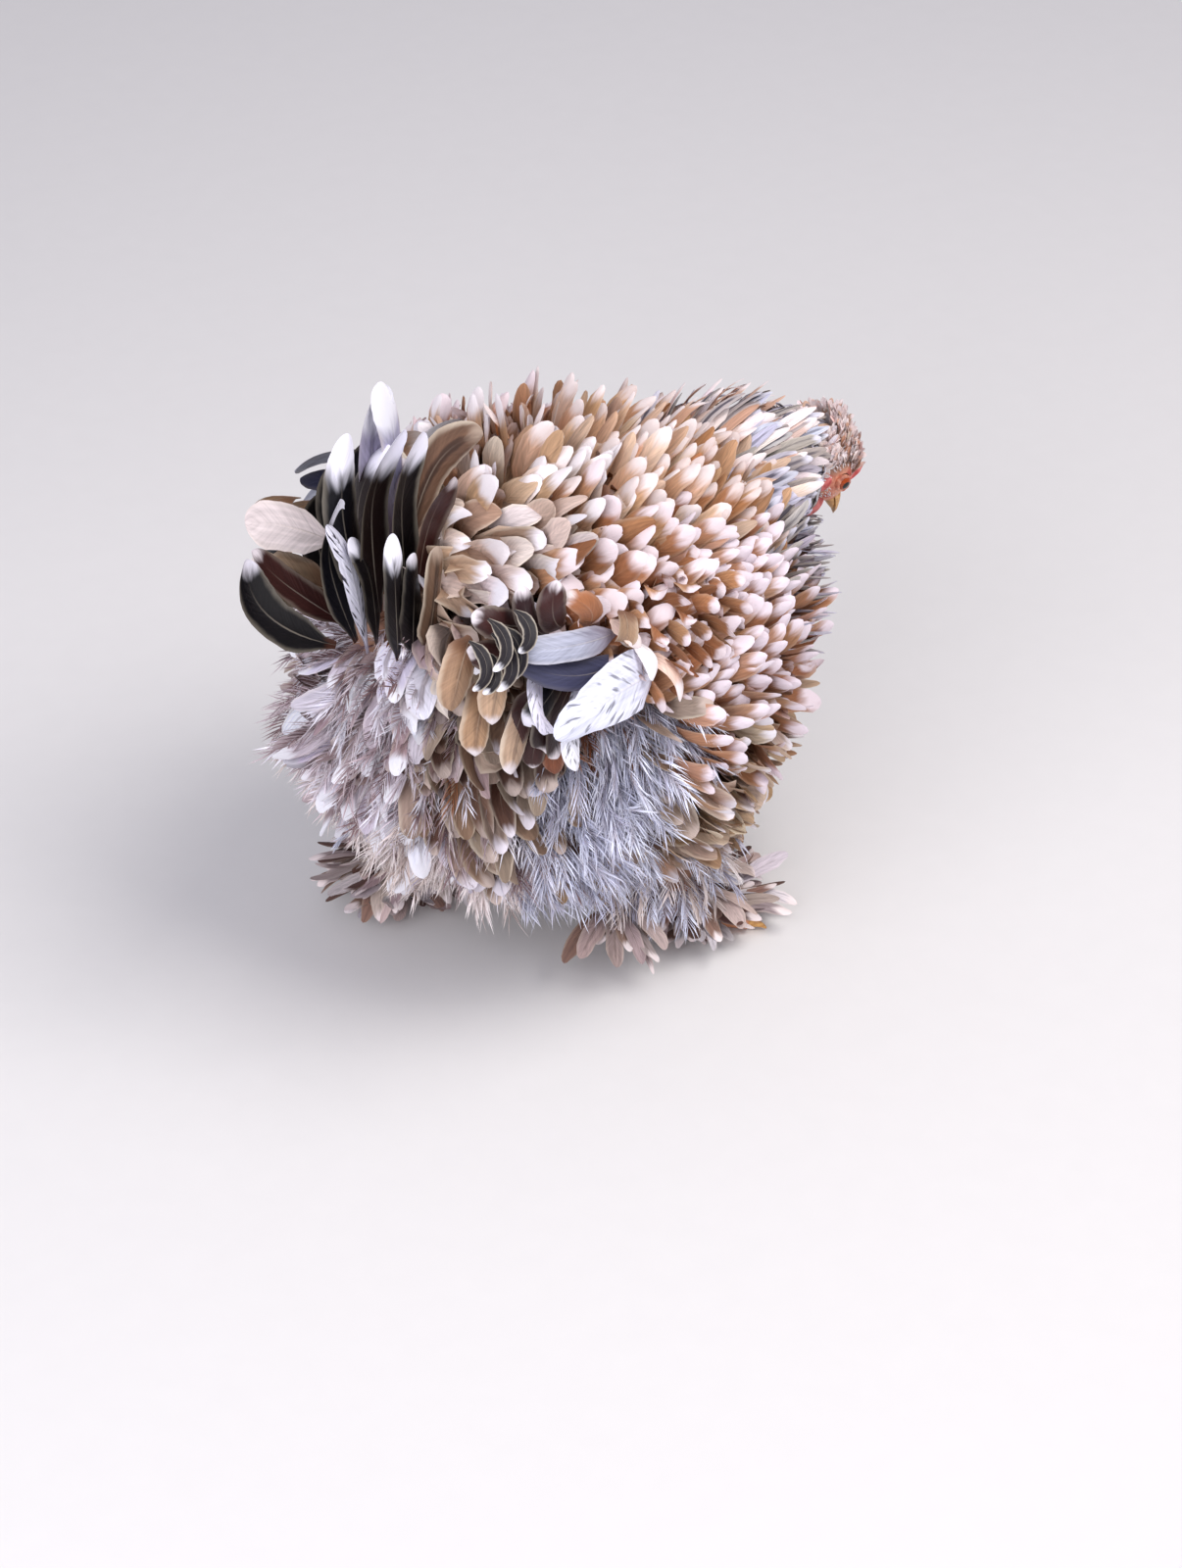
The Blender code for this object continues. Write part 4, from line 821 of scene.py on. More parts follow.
@dataclass
class Hackles:
    """The neck's feathers: they rise from the skin and bend forward to lie along the neck, short at the cheeks.

    Lengths run from the shoulders to the head, longer by nape at the nape. Gap is the distance between neighbours.
    Tips reach forward to the edge, given beside the face, so that it stays free, and over and under it, at heights
    from the head's middle. Those with no room ahead form a short collar that points backwards."""

    rows: int = 23
    lengths: tuple[float, ...] = (.050, .046, .034, .020, .009)
    nape: float = .35
    width: float = .0070
    gap: float = .0054
    edge: Pair = (.121, .138)
    above: Pair = (.016, .026)
    below: Pair = (-.008, -.036)
    throat: Array = field(default_factory=lambda: HEAD_CENTRE + FORWARD * .010 - UP * .030)
    collar: Pair = (.010, .015)
    collar_width: float = .0042
    collar_lift: float = .0022
    kind: Variation = Variation((.85, 1.12), (.8, 1.2), (-.5, .3), (.1, .5), .2, (.48, .70))
    shape: VaneShape = VaneShape()

    def build(self, rng: Random) -> None:
        """Makes the hackles as one piece."""
        shares, turns = [], []
        for row in np.linspace(.08, 1.0, self.rows):
            radius = float(catmull(np.array(NECK.radii), np.array([row]))[0])
            count = int(2 * math.pi * radius / (self.gap * (1.2 - .55 * row)))
            shares.append(np.full(count, row) + rng.uniform(-.03, .03, count))
            turns.append((np.arange(count) + rng.uniform(-.4, .4, count)) / count * 2 * math.pi)
        share, turn = np.clip(np.concatenate(shares), 0, 1), np.concatenate(turns)
        root, normal, heading = NECK.ring(share, turn)
        count = len(root)
        loose = rng.normal(0, 1, (count, 3))
        slow = drift(np.concatenate([normal[:, 1:], share[:, None]], 1), rng, 3.0)
        top = np.clip(normal[:, 2] * 1.3 - .1, 0, 1)
        length = catmull(np.array(self.lengths), share) * (1 + self.nape * top * share)
        lift = ((.85 - .75 * share * (1 - .5 * top)) * (1 - .45 * top))[:, None]
        aim = unit(self.throat - root) * .8 + heading * .35
        striped = Dress.HACKLE.colours(count, rng)
        crown = rng.random(count) < .50 * smooth(top, .2, .6)
        vanes = Vanes(
            root=root - normal * .002,
            start=unit(normal * lift + heading * (1 - lift) + loose * .08 + slow * .12),
            end=unit(aim + FORWARD * .4 * top[:, None] + loose[::-1] * .07 + slow * .14),
            across=unit(np.cross(normal, heading) + loose * .1),
            colours=np.where(crown[:, None, None], Dress.CROWN.colours(count, rng), striped),
            **self.kind.draw(count, rng, length=length, width=self.width * (1.1 - .6 * share)),
            bake=NECK.unwrap(share, turn),
        )
        tips = vanes.bent(np.linspace(0, 1, 8))[0][:, -1]
        height = tips[:, 2] - HEAD_CENTRE[2]
        low = smooth(height, *self.below) + .7 * smooth(height, *self.above)
        edge = self.edge[0] + (self.edge[1] - self.edge[0]) * low + rng.normal(0, .002, count)
        reach = self.forwardness(tips) - self.forwardness(root)
        room = (edge - self.forwardness(root)) / np.maximum(reach, 1e-4)
        back = room < .5
        away = back[:, None]
        vanes.length = np.where(back, rng.uniform(*self.collar, count), vanes.length * np.clip(room, .3, 1))
        vanes.root = vanes.root + np.where(away, normal * self.collar_lift, 0.0)
        vanes.width = np.where(back, self.collar_width, vanes.width)
        vanes.start = np.where(away, unit(normal - heading * .5 + loose * .15), vanes.start)
        vanes.end = np.where(away, unit(normal * .5 - heading + loose[::-1] * .2), vanes.end)
        self.shape.grow(vanes, rng).piece("coat_neck", PLUME_FINISH, "hackle", "neck")

    @staticmethod
    def forwardness(points: Array) -> Array:
        """How far points lie ahead of the body's middle, counting what lies out to the side as further ahead."""
        return (points[:, 0] - BODY_CENTRE[0]) * .87 + np.abs(points[:, 1]) * .5


@dataclass(frozen=True)
class Quill:
    """One large feather, listed: millimetres forward, outward and upward from the body's middle. Bow is the way
    its middle bulges, and how far, and face the way its flat side looks, at any length."""

    root: Triple
    tip: Triple
    bow: Triple
    width: float
    face: Triple
    dress: Dress
    curl: float = 0.0
    cup: float = .3
    blunt: float = .66


def set_quills(quills: Sequence[Quill], side: float, rng: Random) -> Vanes:
    """Quills as feathers: each starts along its chord plus the bow, and ends along its chord less the bow.

    Args:
        quills: the feathers' own values.
        side: the side that they are mirrored to.
        rng: the source of the small differences.

    Returns:
        The feathers.
    """
    values = {item.name: np.array([getattr(quill, item.name) for quill in quills])
              for item in fields(Quill) if item.name != "dress"}
    root, tip, bow = (mirrored(values[label] / 1000, side) for label in ("root", "tip", "bow"))
    root, tip = root + BODY_CENTRE, tip + BODY_CENTRE
    reach, heading = np.linalg.norm(tip - root, axis=1), unit(tip - root)
    slant = 4 * bow / reach[:, None]
    return Vanes(
        root=root,
        start=heading + slant,
        end=heading - slant,
        across=np.cross(mirrored(values["face"], side), heading),
        length=reach * (1 + np.linalg.norm(slant, axis=1) ** 2 / 6),
        width=values["width"] / 1000,
        **{label: values[label] for label in ("curl", "cup", "blunt")},
        colours=np.concatenate([quill.dress.colours(1, rng) for quill in quills]),
        roll=rng.normal(0, .12, len(quills)),
        bake=np.zeros((len(quills), 2)),
    )


TAIL_QUILLS = tuple(Quill(*row) for row in (
    ((-72, 6, 85), (-70, 7, 168), (2, 0, 0), 16, (5, -8, 2), Dress.PEARL, .3, .3, .76),
    ((-72, 10, 85), (-77, 10, 165), (-3, 0, 0), 18, (2, -9, 2), Dress.PEARL, .3, .3, .76),
    ((-64, 10, 80), (-55, 10, 146), (-5, 0, 4), 15, (4, -8, 2), Dress.PEARL, 1),
    ((-74, -16, 100), (-40, -12, 150), (-5, 0, 4), 20, (3, -9, 4), Dress.SEAL, .7),
    ((-72, -10, 100), (-45, -2, 152), (-6, 0, 4), 18, (4, -9, 3), Dress.PEARL, .8),
    ((-76, -26, 80), (-58, -27, 134), (-4, 0, 0), 17, (5, -9, 1), Dress.UMBER, .2),
    ((-91, -18, 70), (-87, -14, 160), (-3, 0, 0), 17, (3, -9, 1), Dress.TAIL, .6),
    ((-79, -21, 70), (-78, -17, 156), (-1, 0, 0), 17, (4, -9, 1), Dress.TAIL, .5),
    ((-96, -12, 70), (-104, -8, 156), (-3, -2, 0), 17, (3, -9, 1), Dress.TAIL, .5),
    ((-101, -14, 56), (-114, -12, 130), (-3, 0, 0), 15, (3, -9, 1), Dress.TAIL, .5),
    ((-98, -19, 52), (-109, -17, 123), (1, 0, 0), 10, (4, -9, 1), Dress.WHITE, .3, .3, .72),
    ((-94, -20, 56), (-101, -19, 114), (2, 0, 0), 12, (5, -8, 1), Dress.TAIL, .3),
    ((-96, 14, 90), (-132, 26, 106), (0, 0, 2), 24, (1, -6, 8), Dress.PAPER, .1, .1, .76),
    ((-100, 2, 70), (-138, 8, 95), (-2, 0, 3), 24, (0, -6, 7), Dress.TAN, .2),
    ((-110, -12, 56), (-149, -6, 110), (-6, 0, -6), 17, (-1, -9, 5), Dress.COAL, .3, .5),
    ((-104, -10, 64), (-145, -2, 108), (0, 0, -1), 14, (1, -8, 7), Dress.UMBER, .2),
    ((-92, -36, 56), (-95, -41, 122), (-2, -4, 0), 11, (3, -9, 0), Dress.TAIL, .8),
    ((-84, -34, 56), (-83, -37, 108), (-2, -4, 0), 16, (3, -9, 2), Dress.COAL, .3),
    ((-78, -36, 56), (-73, -41, 110), (-2, -4, 0), 15, (4, -9, 2), Dress.SEAL, .4),
    ((-86, 4, 70), (-82, 4, 142), (-4, 0, 0), 18, (10, 0, 1), Dress.TAIL, .6),
    ((-78, 18, 66), (-62, 34, 132), (-6, 4, 0), 16, (5, 8, 1), Dress.TAIL, .8),
    ((-84, 24, 62), (-74, 40, 122), (-5, 4, 0), 16, (5, 8, 1), Dress.TAIL, .8),
    ((-70, 20, 70), (-46, 36, 124), (-8, 4, 4), 18, (4, 9, 3), Dress.TAN, .6),
    ((-88, 32, 52), (-80, 50, 100), (-5, 6, 0), 16, (4, 9, 1), Dress.TAIL, .7),
    ((-80, 36, 52), (-66, 58, 102), (-5, 6, 0), 16, (4, 9, 2), Dress.NIGHT, .6),
    ((-104, 18, 58), (-122, 42, 84), (-3, 3, 3), 18, (0, 6, 7), Dress.TAIL, .4),
    ((-108, 10, 52), (-134, 26, 80), (-4, 0, 0), 18, (0, 4, 8), Dress.UMBER, .3),
))
WING_QUILLS = tuple(Quill(*row) for row in (
    ((-9, 90, 63), (-71, 106, 85), (0, 8, -2), 13, (-1, 9, 4), Dress.NIGHT, .3),
    ((-16, 92, 78), (-73, 106, 94), (0, 8, 3), 13, (-1, 8, 6), Dress.BLUISH, .3),
    ((0, 96, 53), (-63, 121, 56), (3, 6, 9), 27, (0, 10, 3), Dress.WHITE, .2, .3, .4),
    ((-35, 100, 61), (-56, 121, 41), (-7, 5, 4), 12, (1, 10, 1), Dress.WHITE, .2, .4, .3),
    ((-55, 94, 73), (-65, 114, 57), (-6, 5, 2), 10, (2, 10, 0), Dress.WHITE, .3, .4, .45),
    ((-31, 86, 57), (-58, 108, 38), (-6, 4, 6), 12, (2, 10, 0), Dress.UMBER, .5),
    ((-36, 86, 58), (-64, 107, 44), (-6, 4, 6), 12, (1, 10, 0), Dress.UMBER, .6),
    ((-39, 86, 62), (-68, 106, 55), (0, 6, 6), 12, (1, 10, 3), Dress.TAIL, .9),
    ((-19, 92, 85), (-11, 106, 77), (0, 3, 2), 8, (3, 10, 2), Dress.CHEEK, .3, .5, .5),
    ((-9, 94, 72), (-6, 112, 64), (2, 3, 2), 8, (3, 10, 2), Dress.CHEEK, .3, .5, .5),
    ((-1, 94, 62), (8, 110, 45), (3, 3, 3), 7, (3, 10, 2), Dress.CHEEK, .3, .5, .2),
    ((-13, 90, 87), (-16, 104, 87), (0, 6, 4), 10, (1, 9, 5), Dress.TAN, .8),
    ((-64, 84, 80), (-84, 104, 66), (-5, 6, 4), 14, (0, 10, 2), Dress.SHELL, .15, .5, .55),
    ((-52, 84, 55), (-74, 102, 32), (-5, 6, 4), 13, (0, 10, 2), Dress.SHELL, .15, .5, .55),
    ((-72, 82, 68), (-89, 98, 44), (-5, 6, 4), 15, (0, 10, 2), Dress.SHELL, .15, .5, .55),
    ((-80, 80, 90), (-99, 98, 72), (-4, 6, 4), 16, (0, 10, 3), Dress.SHELL, .15, .5, .55),
))
# The umber quills behind the wing stand partly for dark curled feathers and partly as painted shade in the gaps there.
RIGHT_WING_QUILLS = tuple(Quill(*row) for row in (
    ((-79, 97, 101), (-84, 110, 83), (7, 3, 0), 6.4, (-3, 8, 5), Dress.ARC, .3, .3, .5),
    ((-74, 97, 103), (-76, 110, 85), (6, 3, 0), 6.4, (-3, 8, 5), Dress.ARC, .3, .3, .5),
    ((-68, 97, 109), (-70, 110, 98), (5, 3, 0), 6.4, (-3, 8, 5), Dress.ARC, .3, .3, .5),
    ((-84, 97, 94), (-89, 110, 83), (5, 3, 0), 5.8, (-3, 8, 5), Dress.ARC, .3, .3, .5),
    ((-80, 96, 108), (-83, 109, 92), (6, 3, 0), 5.8, (-3, 8, 5), Dress.ARC, .3, .3, .5),
    ((-89, 96, 100), (-94, 109, 86), (6, 3, 0), 5.8, (-3, 8, 5), Dress.ARC, .3, .3, .5),
    ((-40, 88, 86), (-56, 104, 114), (-4, 4, 0), 13, (-3, 8, 5), Dress.UMBER, .9),
    ((-29, 88, 82), (-42, 104, 113), (3, 4, 0), 11, (-3, 8, 5), Dress.RUST, 1),
    ((-46, 86, 83), (-68, 100, 113), (-4, 4, 0), 12, (-3, 8, 5), Dress.UMBER, .6),
    ((-57, 86, 91), (-82, 98, 108), (-2, 4, 2), 14, (-3, 8, 5), Dress.UMBER, .6),
    ((-56, 84, 75), (-84, 96, 90), (-2, 4, 2), 14, (-3, 8, 5), Dress.UMBER, .6),
    ((-52, 86, 59), (-73, 100, 44), (-4, 4, 2), 11, (-3, 8, 5), Dress.UMBER, .5),
    ((-46, 86, 46), (-64, 100, 28), (-4, 4, 2), 11, (-3, 8, 5), Dress.UMBER, .5),
    ((-40, 88, 43), (-54, 102, 22), (-4, 4, 2), 10, (-3, 8, 5), Dress.RUST, .4),
))


@dataclass
class Flights:
    """The large feathers of the tail and the wings, and the coverts, small ones over the covered share of each wing's
    flesh. The left wing's large feathers sit lower by left_drop."""

    left_drop: float = .018
    coverts: int = 130
    covered: float = .85
    kind: Variation = Variation((.018, .027), (.007, .011), (0.0, .8), (.1, .4), .35, (.62, .76))
    shape: VaneShape = VaneShape()
    large: VaneShape = VaneShape(rows=20, columns=10, thick=.0005, ragged=.03, splits=.5, swell=.5)

    def quilled(self, name: str, slot: str, vanes: Vanes, rng: Random, node: str) -> None:
        """Makes one piece of large feathers, each in its own cell of the bake's map, in rows and columns.

        Args:
            name: the piece's name.
            slot: the record's material slot.
            vanes: the feathers.
            rng: the source of the uneven edges.
            node: the solid that the piece stands for.
        """
        mesh, count = self.large.grow(vanes, rng), len(vanes)
        across = math.ceil(math.sqrt(count))
        index = np.repeat(np.arange(count), len(mesh.points) // count)
        cell = np.stack([index % across, index // across], -1)
        mesh.maps["OFBake"] = (cell + .08 + .84 * mesh.maps["Vane"]) / across
        mesh.piece(name, FLIGHT_FINISH, slot, node)

    def small_feathers(self, hand: str, rng: Random) -> None:
        """Makes the small curled feathers over the front of a folded wing, on a spiral round its flesh."""
        limb, index = wing_pad(hand), np.arange(self.coverts)
        share, turn = (index + .5) / self.coverts * self.covered, golden(index)
        root, normal, heading = limb.ring(share, turn)
        loose = rng.normal(0, 1, root.shape)
        aim = LEFT * SIDES[hand] * .7 + FORWARD * (.6 - .9 * share[:, None]) - UP * .2
        vanes = Vanes(
            root=root - normal * .001,
            start=unit(normal + loose * .15),
            end=unit(aim + normal * .3 + loose[::-1] * .25),
            across=unit(np.cross(normal, heading) + loose * .2),
            colours=Dress.SHOULDER.colours(self.coverts, rng),
            **self.kind.draw(self.coverts, rng),
            bake=limb.unwrap(share, turn),
        )
        self.shape.grow(vanes, rng).piece(f"coat_wing_{hand}", PLUME_FINISH, "coat", f"wing_{hand}")

    def build(self, rng: Random) -> None:
        """Makes the tail's fan and both wings."""
        self.quilled("tail_fan", "tail", set_quills(TAIL_QUILLS, 1.0, rng), rng, "tail")
        for hand, side in SIDES.items():
            right = hand == "right"
            vanes = set_quills(WING_QUILLS + (RIGHT_WING_QUILLS if right else ()), side, rng)
            vanes.root[:, 2] -= 0.0 if right else self.left_drop
            self.quilled(f"flights_{hand}", "flight", vanes, rng, f"wing_{hand}")
            self.small_feathers(hand, rng)


@dataclass(frozen=True)
class Ruff:
    """Feathers round part of a shank, between turns in degrees from outwards, with 90 straight back. Drop is how far
    their tips point down, and behind how far behind the foot they grow."""

    count: int
    turns: Pair
    height: float
    length: float
    width: float
    drop: float
    behind: float = 0.0


@dataclass
class Boots:
    """Long feathers that splay from the shanks and toes, just over the floor, and a tuft behind the right hock."""

    ruffs: tuple[Ruff, ...] = (
        Ruff(30, (-125, -55), .009, .044, .0080, .16),
        Ruff(36, (-100, 220), .007, .030, .0070, .20),
        Ruff(36, (-95, 215), .014, .033, .0075, .42),
        Ruff(30, (-75, 205), .022, .035, .0075, .90),
        Ruff(22, (60, 140), .020, .036, .0080, .40),
    )
    tuft: Ruff = Ruff(16, (-10, 60), .026, .036, .0085, .95, .040)
    kind: Variation = Variation((.55, 1.20), (.6, 1.3), (-.8, .6), (-.2, .4), .5, (.55, .78))
    shape: VaneShape = VaneShape(ragged=.12, splits=.8)

    def build(self, hand: str, rng: Random) -> None:
        """Makes one foot's feathers."""
        ruffs = self.ruffs + ((self.tuft,) if hand == "right" else ())
        counts = [ruff.count for ruff in ruffs]
        count = sum(counts)
        turn = np.radians(np.concatenate([np.linspace(*ruff.turns, ruff.count) for ruff in ruffs]))
        turn += rng.uniform(-.12, .12, count)
        height, length, width, drop, behind = (
            np.repeat([getattr(ruff, name) for ruff in ruffs], counts)
            for name in ("height", "length", "width", "drop", "behind")
        )
        out = np.stack([-np.sin(turn), SIDES[hand] * np.cos(turn), np.zeros(count)], -1)
        loose = rng.normal(0, 1, (count, 3))
        vanes = Vanes(
            root=FEET[hand] + out * .003 + UP * height[:, None] - FORWARD * behind[:, None],
            start=unit(out + UP * .20 + loose * .16),
            end=unit(out - UP * drop[:, None] + loose[::-1] * .20),
            across=unit(np.cross(UP, out) + loose * .15),
            colours=Dress.BOOT.colours(count, rng),
            **self.kind.draw(count, rng, length=length, width=width),
            bake=.02 + .96 * np.stack([turn / (2 * math.pi) % 1, height / .03], -1),
        )
        self.shape.grow(vanes, rng).piece(f"boot_{hand}", PLUME_FINISH, "boots", f"foot_{hand}")


# Down


@dataclass
class Blades(Strands):
    """Fine closed blades of down, three-sided and tapered."""

    def grow(self) -> MeshArrays:
        """The blades as one mesh: three-sided rings at the foot and half way, and a point."""
        stations = np.array([0.0, .5, 1.0])
        middle, heading, bend = self.lines(stations)
        flat = unit(np.cross(heading[:, 0], bend))[:, None]
        normal = np.cross(heading, flat)
        turn = np.radians([90, 210, 330])
        radius = (self.width / 2)[:, None, None] * np.array([.7, 1.0])[None, :, None]
        rings = middle[:, :-1, None] + flat[:, :, None] * (radius * np.cos(turn))[..., None]
        rings = rings + normal[:, :-1, None] * (radius * np.sin(turn) * .6)[..., None]
        foot = middle[:, 0] - heading[:, 0] * .0003
        return self.closed(rings, foot, middle[:, -1], np.array([0.0, .5, 1.0]), stations[:-1])


class Down(enum.Enum):
    """Colours of the down, as a screen shows them, 0 to 255."""

    GREY = ((194, 197, 216), (208, 209, 226), (176, 175, 194), (232, 236, 252))
    BEIGE = ((232, 220, 216), (218, 204, 198), (242, 232, 230), (204, 190, 184))
    BROWN = ((186, 168, 174), (138, 114, 116), (210, 200, 208), (234, 232, 242))
    BUFF = ((214, 180, 154), (200, 162, 130), (222, 198, 180))
    RUST = ((124, 78, 54), (104, 64, 46), (146, 98, 70))


@dataclass(frozen=True)
class DownTract:
    """Down that grows alike round a place on the body: the way its plumes point, their length, how close they stand,
    and their colours. The short layer grows everywhere."""

    place: Triple
    tip: Triple
    length: float
    plumes: float
    colours: Down


DOWN_TRACTS = (
    DownTract((.2, .4, .9), (-.2, .1, .9), .02, 0, Down.RUST),
    DownTract((-.5, .3, .8), (-.3, .3, .8), .022, .1, Down.RUST),
    DownTract((-.45, .72, .4), (-.2, .7, -.4), .022, .1, Down.RUST),
    DownTract((.6, .7, .3), (.3, .7, .2), .02, 0, Down.RUST),
    DownTract((.95, .2, 0), (.8, .2, -.4), .02, .1, Down.BUFF),
    DownTract((.6, .6, -.55), (.35, .35, -.85), .026, .2, Down.BUFF),
    DownTract((.42, .86, -.28), (.25, .4, -.85), .026, .2, Down.BUFF),
    DownTract((.32, .68, -.66), (.25, .4, -.85), .026, .3, Down.BUFF),
    DownTract((.02, .97, .02), (-.05, .6, -.75), .036, 1, Down.GREY),
    DownTract((-.25, .93, -.1), (-.1, .55, -.8), .04, 1, Down.GREY),
    DownTract((-.1, .76, -.64), (0, .35, -.9), .036, 1, Down.GREY),
    DownTract((-.65, .7, -.15), (-.35, .5, -.75), .036, 1, Down.BROWN),
    DownTract((-.75, .4, -.45), (-.5, .3, -.8), .032, 1, Down.BEIGE),
    DownTract((-.8, .42, .4), (-.75, .5, -.1), .034, 1, Down.BROWN),
    DownTract((-.95, .15, .1), (-.8, .2, -.6), .036, .9, Down.BROWN),
    DownTract((0, 0, -1), (-.2, 0, -.95), .028, .8, Down.BEIGE),
)


@dataclass
class DownCoat:
    """Down under and below the curled feathers: a short layer of blades everywhere, and plumes with barbs at some of
    the places on the lower body, and on the legs. Reach is how far a tract's values carry, and edges that bend by more
    degrees than sharp stay sharp."""

    under: int = 12000
    places: int = 3000
    barbs: int = 26
    leg_plumes: int = 70
    reach: float = .30
    sharp: float = 80

    def coloured(self, weight: Array, rng: Random) -> Array:
        """A colour for each plume: one of those of a tract that is near.

        Args:
            weight: how much each tract counts for each plume.
            rng: the source of the choices.

        Returns:
            Plumes by 1 by 4, with a random number as alpha.
        """
        chosen = chosen_by(weight, rng)
        colour = np.zeros((len(weight), 1, 4))
        for index, tract in enumerate(DOWN_TRACTS):
            mine, palette = chosen == index, linear(np.array(tract.colours.value))
            colour[mine, 0, :3] = palette[rng.integers(0, len(palette), int(mine.sum()))]
        colour[..., :3] *= rng.uniform(.85, 1.18, (len(weight), 1, 1))
        colour[:, 0, 3] = rng.random(len(weight))
        return colour

    def short_layer(self, rng: Random) -> None:
        """Makes the layer that fills the gaps among the feathers."""
        way = TRUNK.spread(self.under)
        here, flip = folded(way)
        weight, normal = nearness(here, DOWN_TRACTS, self.reach), TRUNK.normal(way)
        loose = rng.normal(0, 1, way.shape)
        blades = Blades(
            root=TRUNK.point(way) - normal * .001,
            start=unit(normal + loose * .30),
            end=unit(unit(blended(DOWN_TRACTS, weight, "tip") * flip) + loose[::-1] * .35),
            colours=self.coloured(weight, rng),
            length=rng.uniform(.014, .026, len(way)),
            width=rng.uniform(.0012, .0022, len(way)),
            bake=TRUNK.unwrap(way),
        )
        blades.grow().piece("down_under", DOWN_FINISH, "down", sharp=self.sharp)

    def barbed(self, rng: Random, root: Array, start: Array, end: Array, length: Array, bake: Array,
               colours: Array) -> Blades:
        """Plumes as blades: barbs leave a shaft on both sides, steeply at its foot and closely at its tip.

        Args:
            rng: the source of the variation.
            root, start, end, length, bake, colours: one row for each plume, as Strands has them.

        Returns:
            The blades of all the plumes.
        """
        count, total = len(root), len(root) * self.barbs
        start, end = unit(start), unit(end)
        share = np.linspace(.12, .92, self.barbs)[None, :, None]
        side = np.where(np.arange(self.barbs) % 2 == 0, 1.0, -1.0)[None, :, None]
        turned = unit(start[:, None] * (1 - share) + end[:, None] * share)
        shaft = (start[:, None] * (share - share**2 / 2) + end[:, None] * share**2 / 2) * length[:, None, None]
        across = unit(np.cross(start, unit(end - start) + rng.normal(0, .6, (count, 3))))[:, None]
        loose = rng.normal(0, 1, (count, self.barbs, 3))
        size = length[:, None] * (.52 - .22 * share[..., 0]) * rng.uniform(.8, 1.2, (count, self.barbs))
        blades = Blades(
            root=(root[:, None] + shaft).reshape(-1, 3),
            start=unit(turned + across * side * (.95 - .55 * share) + loose * .12).reshape(-1, 3),
            end=unit(turned * 1.2 + across * side * .30 + loose[:, ::-1] * .16).reshape(-1, 3),
            length=size.ravel(),
            width=rng.uniform(.0005, .0010, total),
            bake=np.repeat(bake, self.barbs, 0),
            colours=np.repeat(colours, self.barbs, 0),
        )
        blades.colours[..., :3] *= rng.uniform(.85, 1.2, (total, 1, 1))
        return blades

    def plumes(self, rng: Random) -> None:
        """Makes the plumes of the lower body, in four pieces."""
        way = TRUNK.spread(self.places)
        here, flip = folded(way)
        weight = nearness(here, DOWN_TRACTS, self.reach)
        kept = rng.random(len(way)) < blended(DOWN_TRACTS, weight, "plumes")
        way, flip, weight = way[kept], flip[kept], weight[kept]
        normal, loose = TRUNK.normal(way), rng.normal(0, 1, way.shape)
        tip = unit(blended(DOWN_TRACTS, weight, "tip") * flip)
        blades = self.barbed(
            rng,
            root=TRUNK.point(way),
            start=unit(normal * .9 + tip * .3 + loose * .12),
            end=unit(tip + loose[::-1] * .30 + drift(way, rng, 6.0) * .25),
            length=blended(DOWN_TRACTS, weight, "length") * rng.uniform(.7, 1.2, len(way)),
            bake=TRUNK.unwrap(way),
            colours=self.coloured(weight, rng),
        )
        right, front = (np.repeat(mask, self.barbs) for mask in (way[:, 1] < 0, way[:, 0] > -.2))
        for place, mask in {"front": front, "rear": ~front}.items():
            for hand, side in {"right": right, "left": ~right}.items():
                mesh = blades.picked(mask & side).grow()
                mesh.piece(f"down_{place}_{hand}", DOWN_FINISH, "down", sharp=self.sharp)

    def trousers(self, hand: str, rng: Random) -> None:
        """Makes the plumes that hang round a leg, down over the hock."""
        limb, index = leg_of(hand), np.arange(self.leg_plumes)
        share, turn = (index + .5) / self.leg_plumes * .85 + .12, golden(index)
        root, normal, _ = limb.ring(share, turn)
        loose = rng.normal(0, 1, root.shape)
        palette = linear(np.array(Down.BEIGE.value + Down.GREY.value))
        colour = palette[rng.integers(0, len(palette), len(root))]
        blades = self.barbed(
            rng,
            colours=np.column_stack([colour, rng.random(len(root))])[:, None],
            root=root,
            start=unit(normal * .8 - UP * .4 + loose * .15),
            end=unit(normal * .25 - UP + loose[::-1] * .20),
            length=(.034 - .012 * share) * rng.uniform(.85, 1.15, len(root)),
            bake=limb.unwrap(share, turn),
        )
        name = f"leg_{hand}"
        blades.grow().piece(f"down_{name}", DOWN_FINISH, "down", name, sharp=self.sharp)

    def build(self, rng: Random) -> None:
        """Makes all the down."""
        for hand in SIDES:
            self.trousers(hand, rng)
        self.short_layer(rng)
        self.plumes(rng)


# Flesh, horn and eyes

# Stations of the skull: forward, half width, half height and height of the middle
SKULL = np.array([
    (-.0165, .0080, .0085, .0010), (-.0120, .0112, .0122, .0010), (-.0055, .0130, .0142, .0008),
    (.0010, .0126, .0142, 0.0000), (.0062, .0108, .0125, -.0008), (.0105, .0080, .0098, -.0016),
    (.0135, .0052, .0066, -.0020),
])


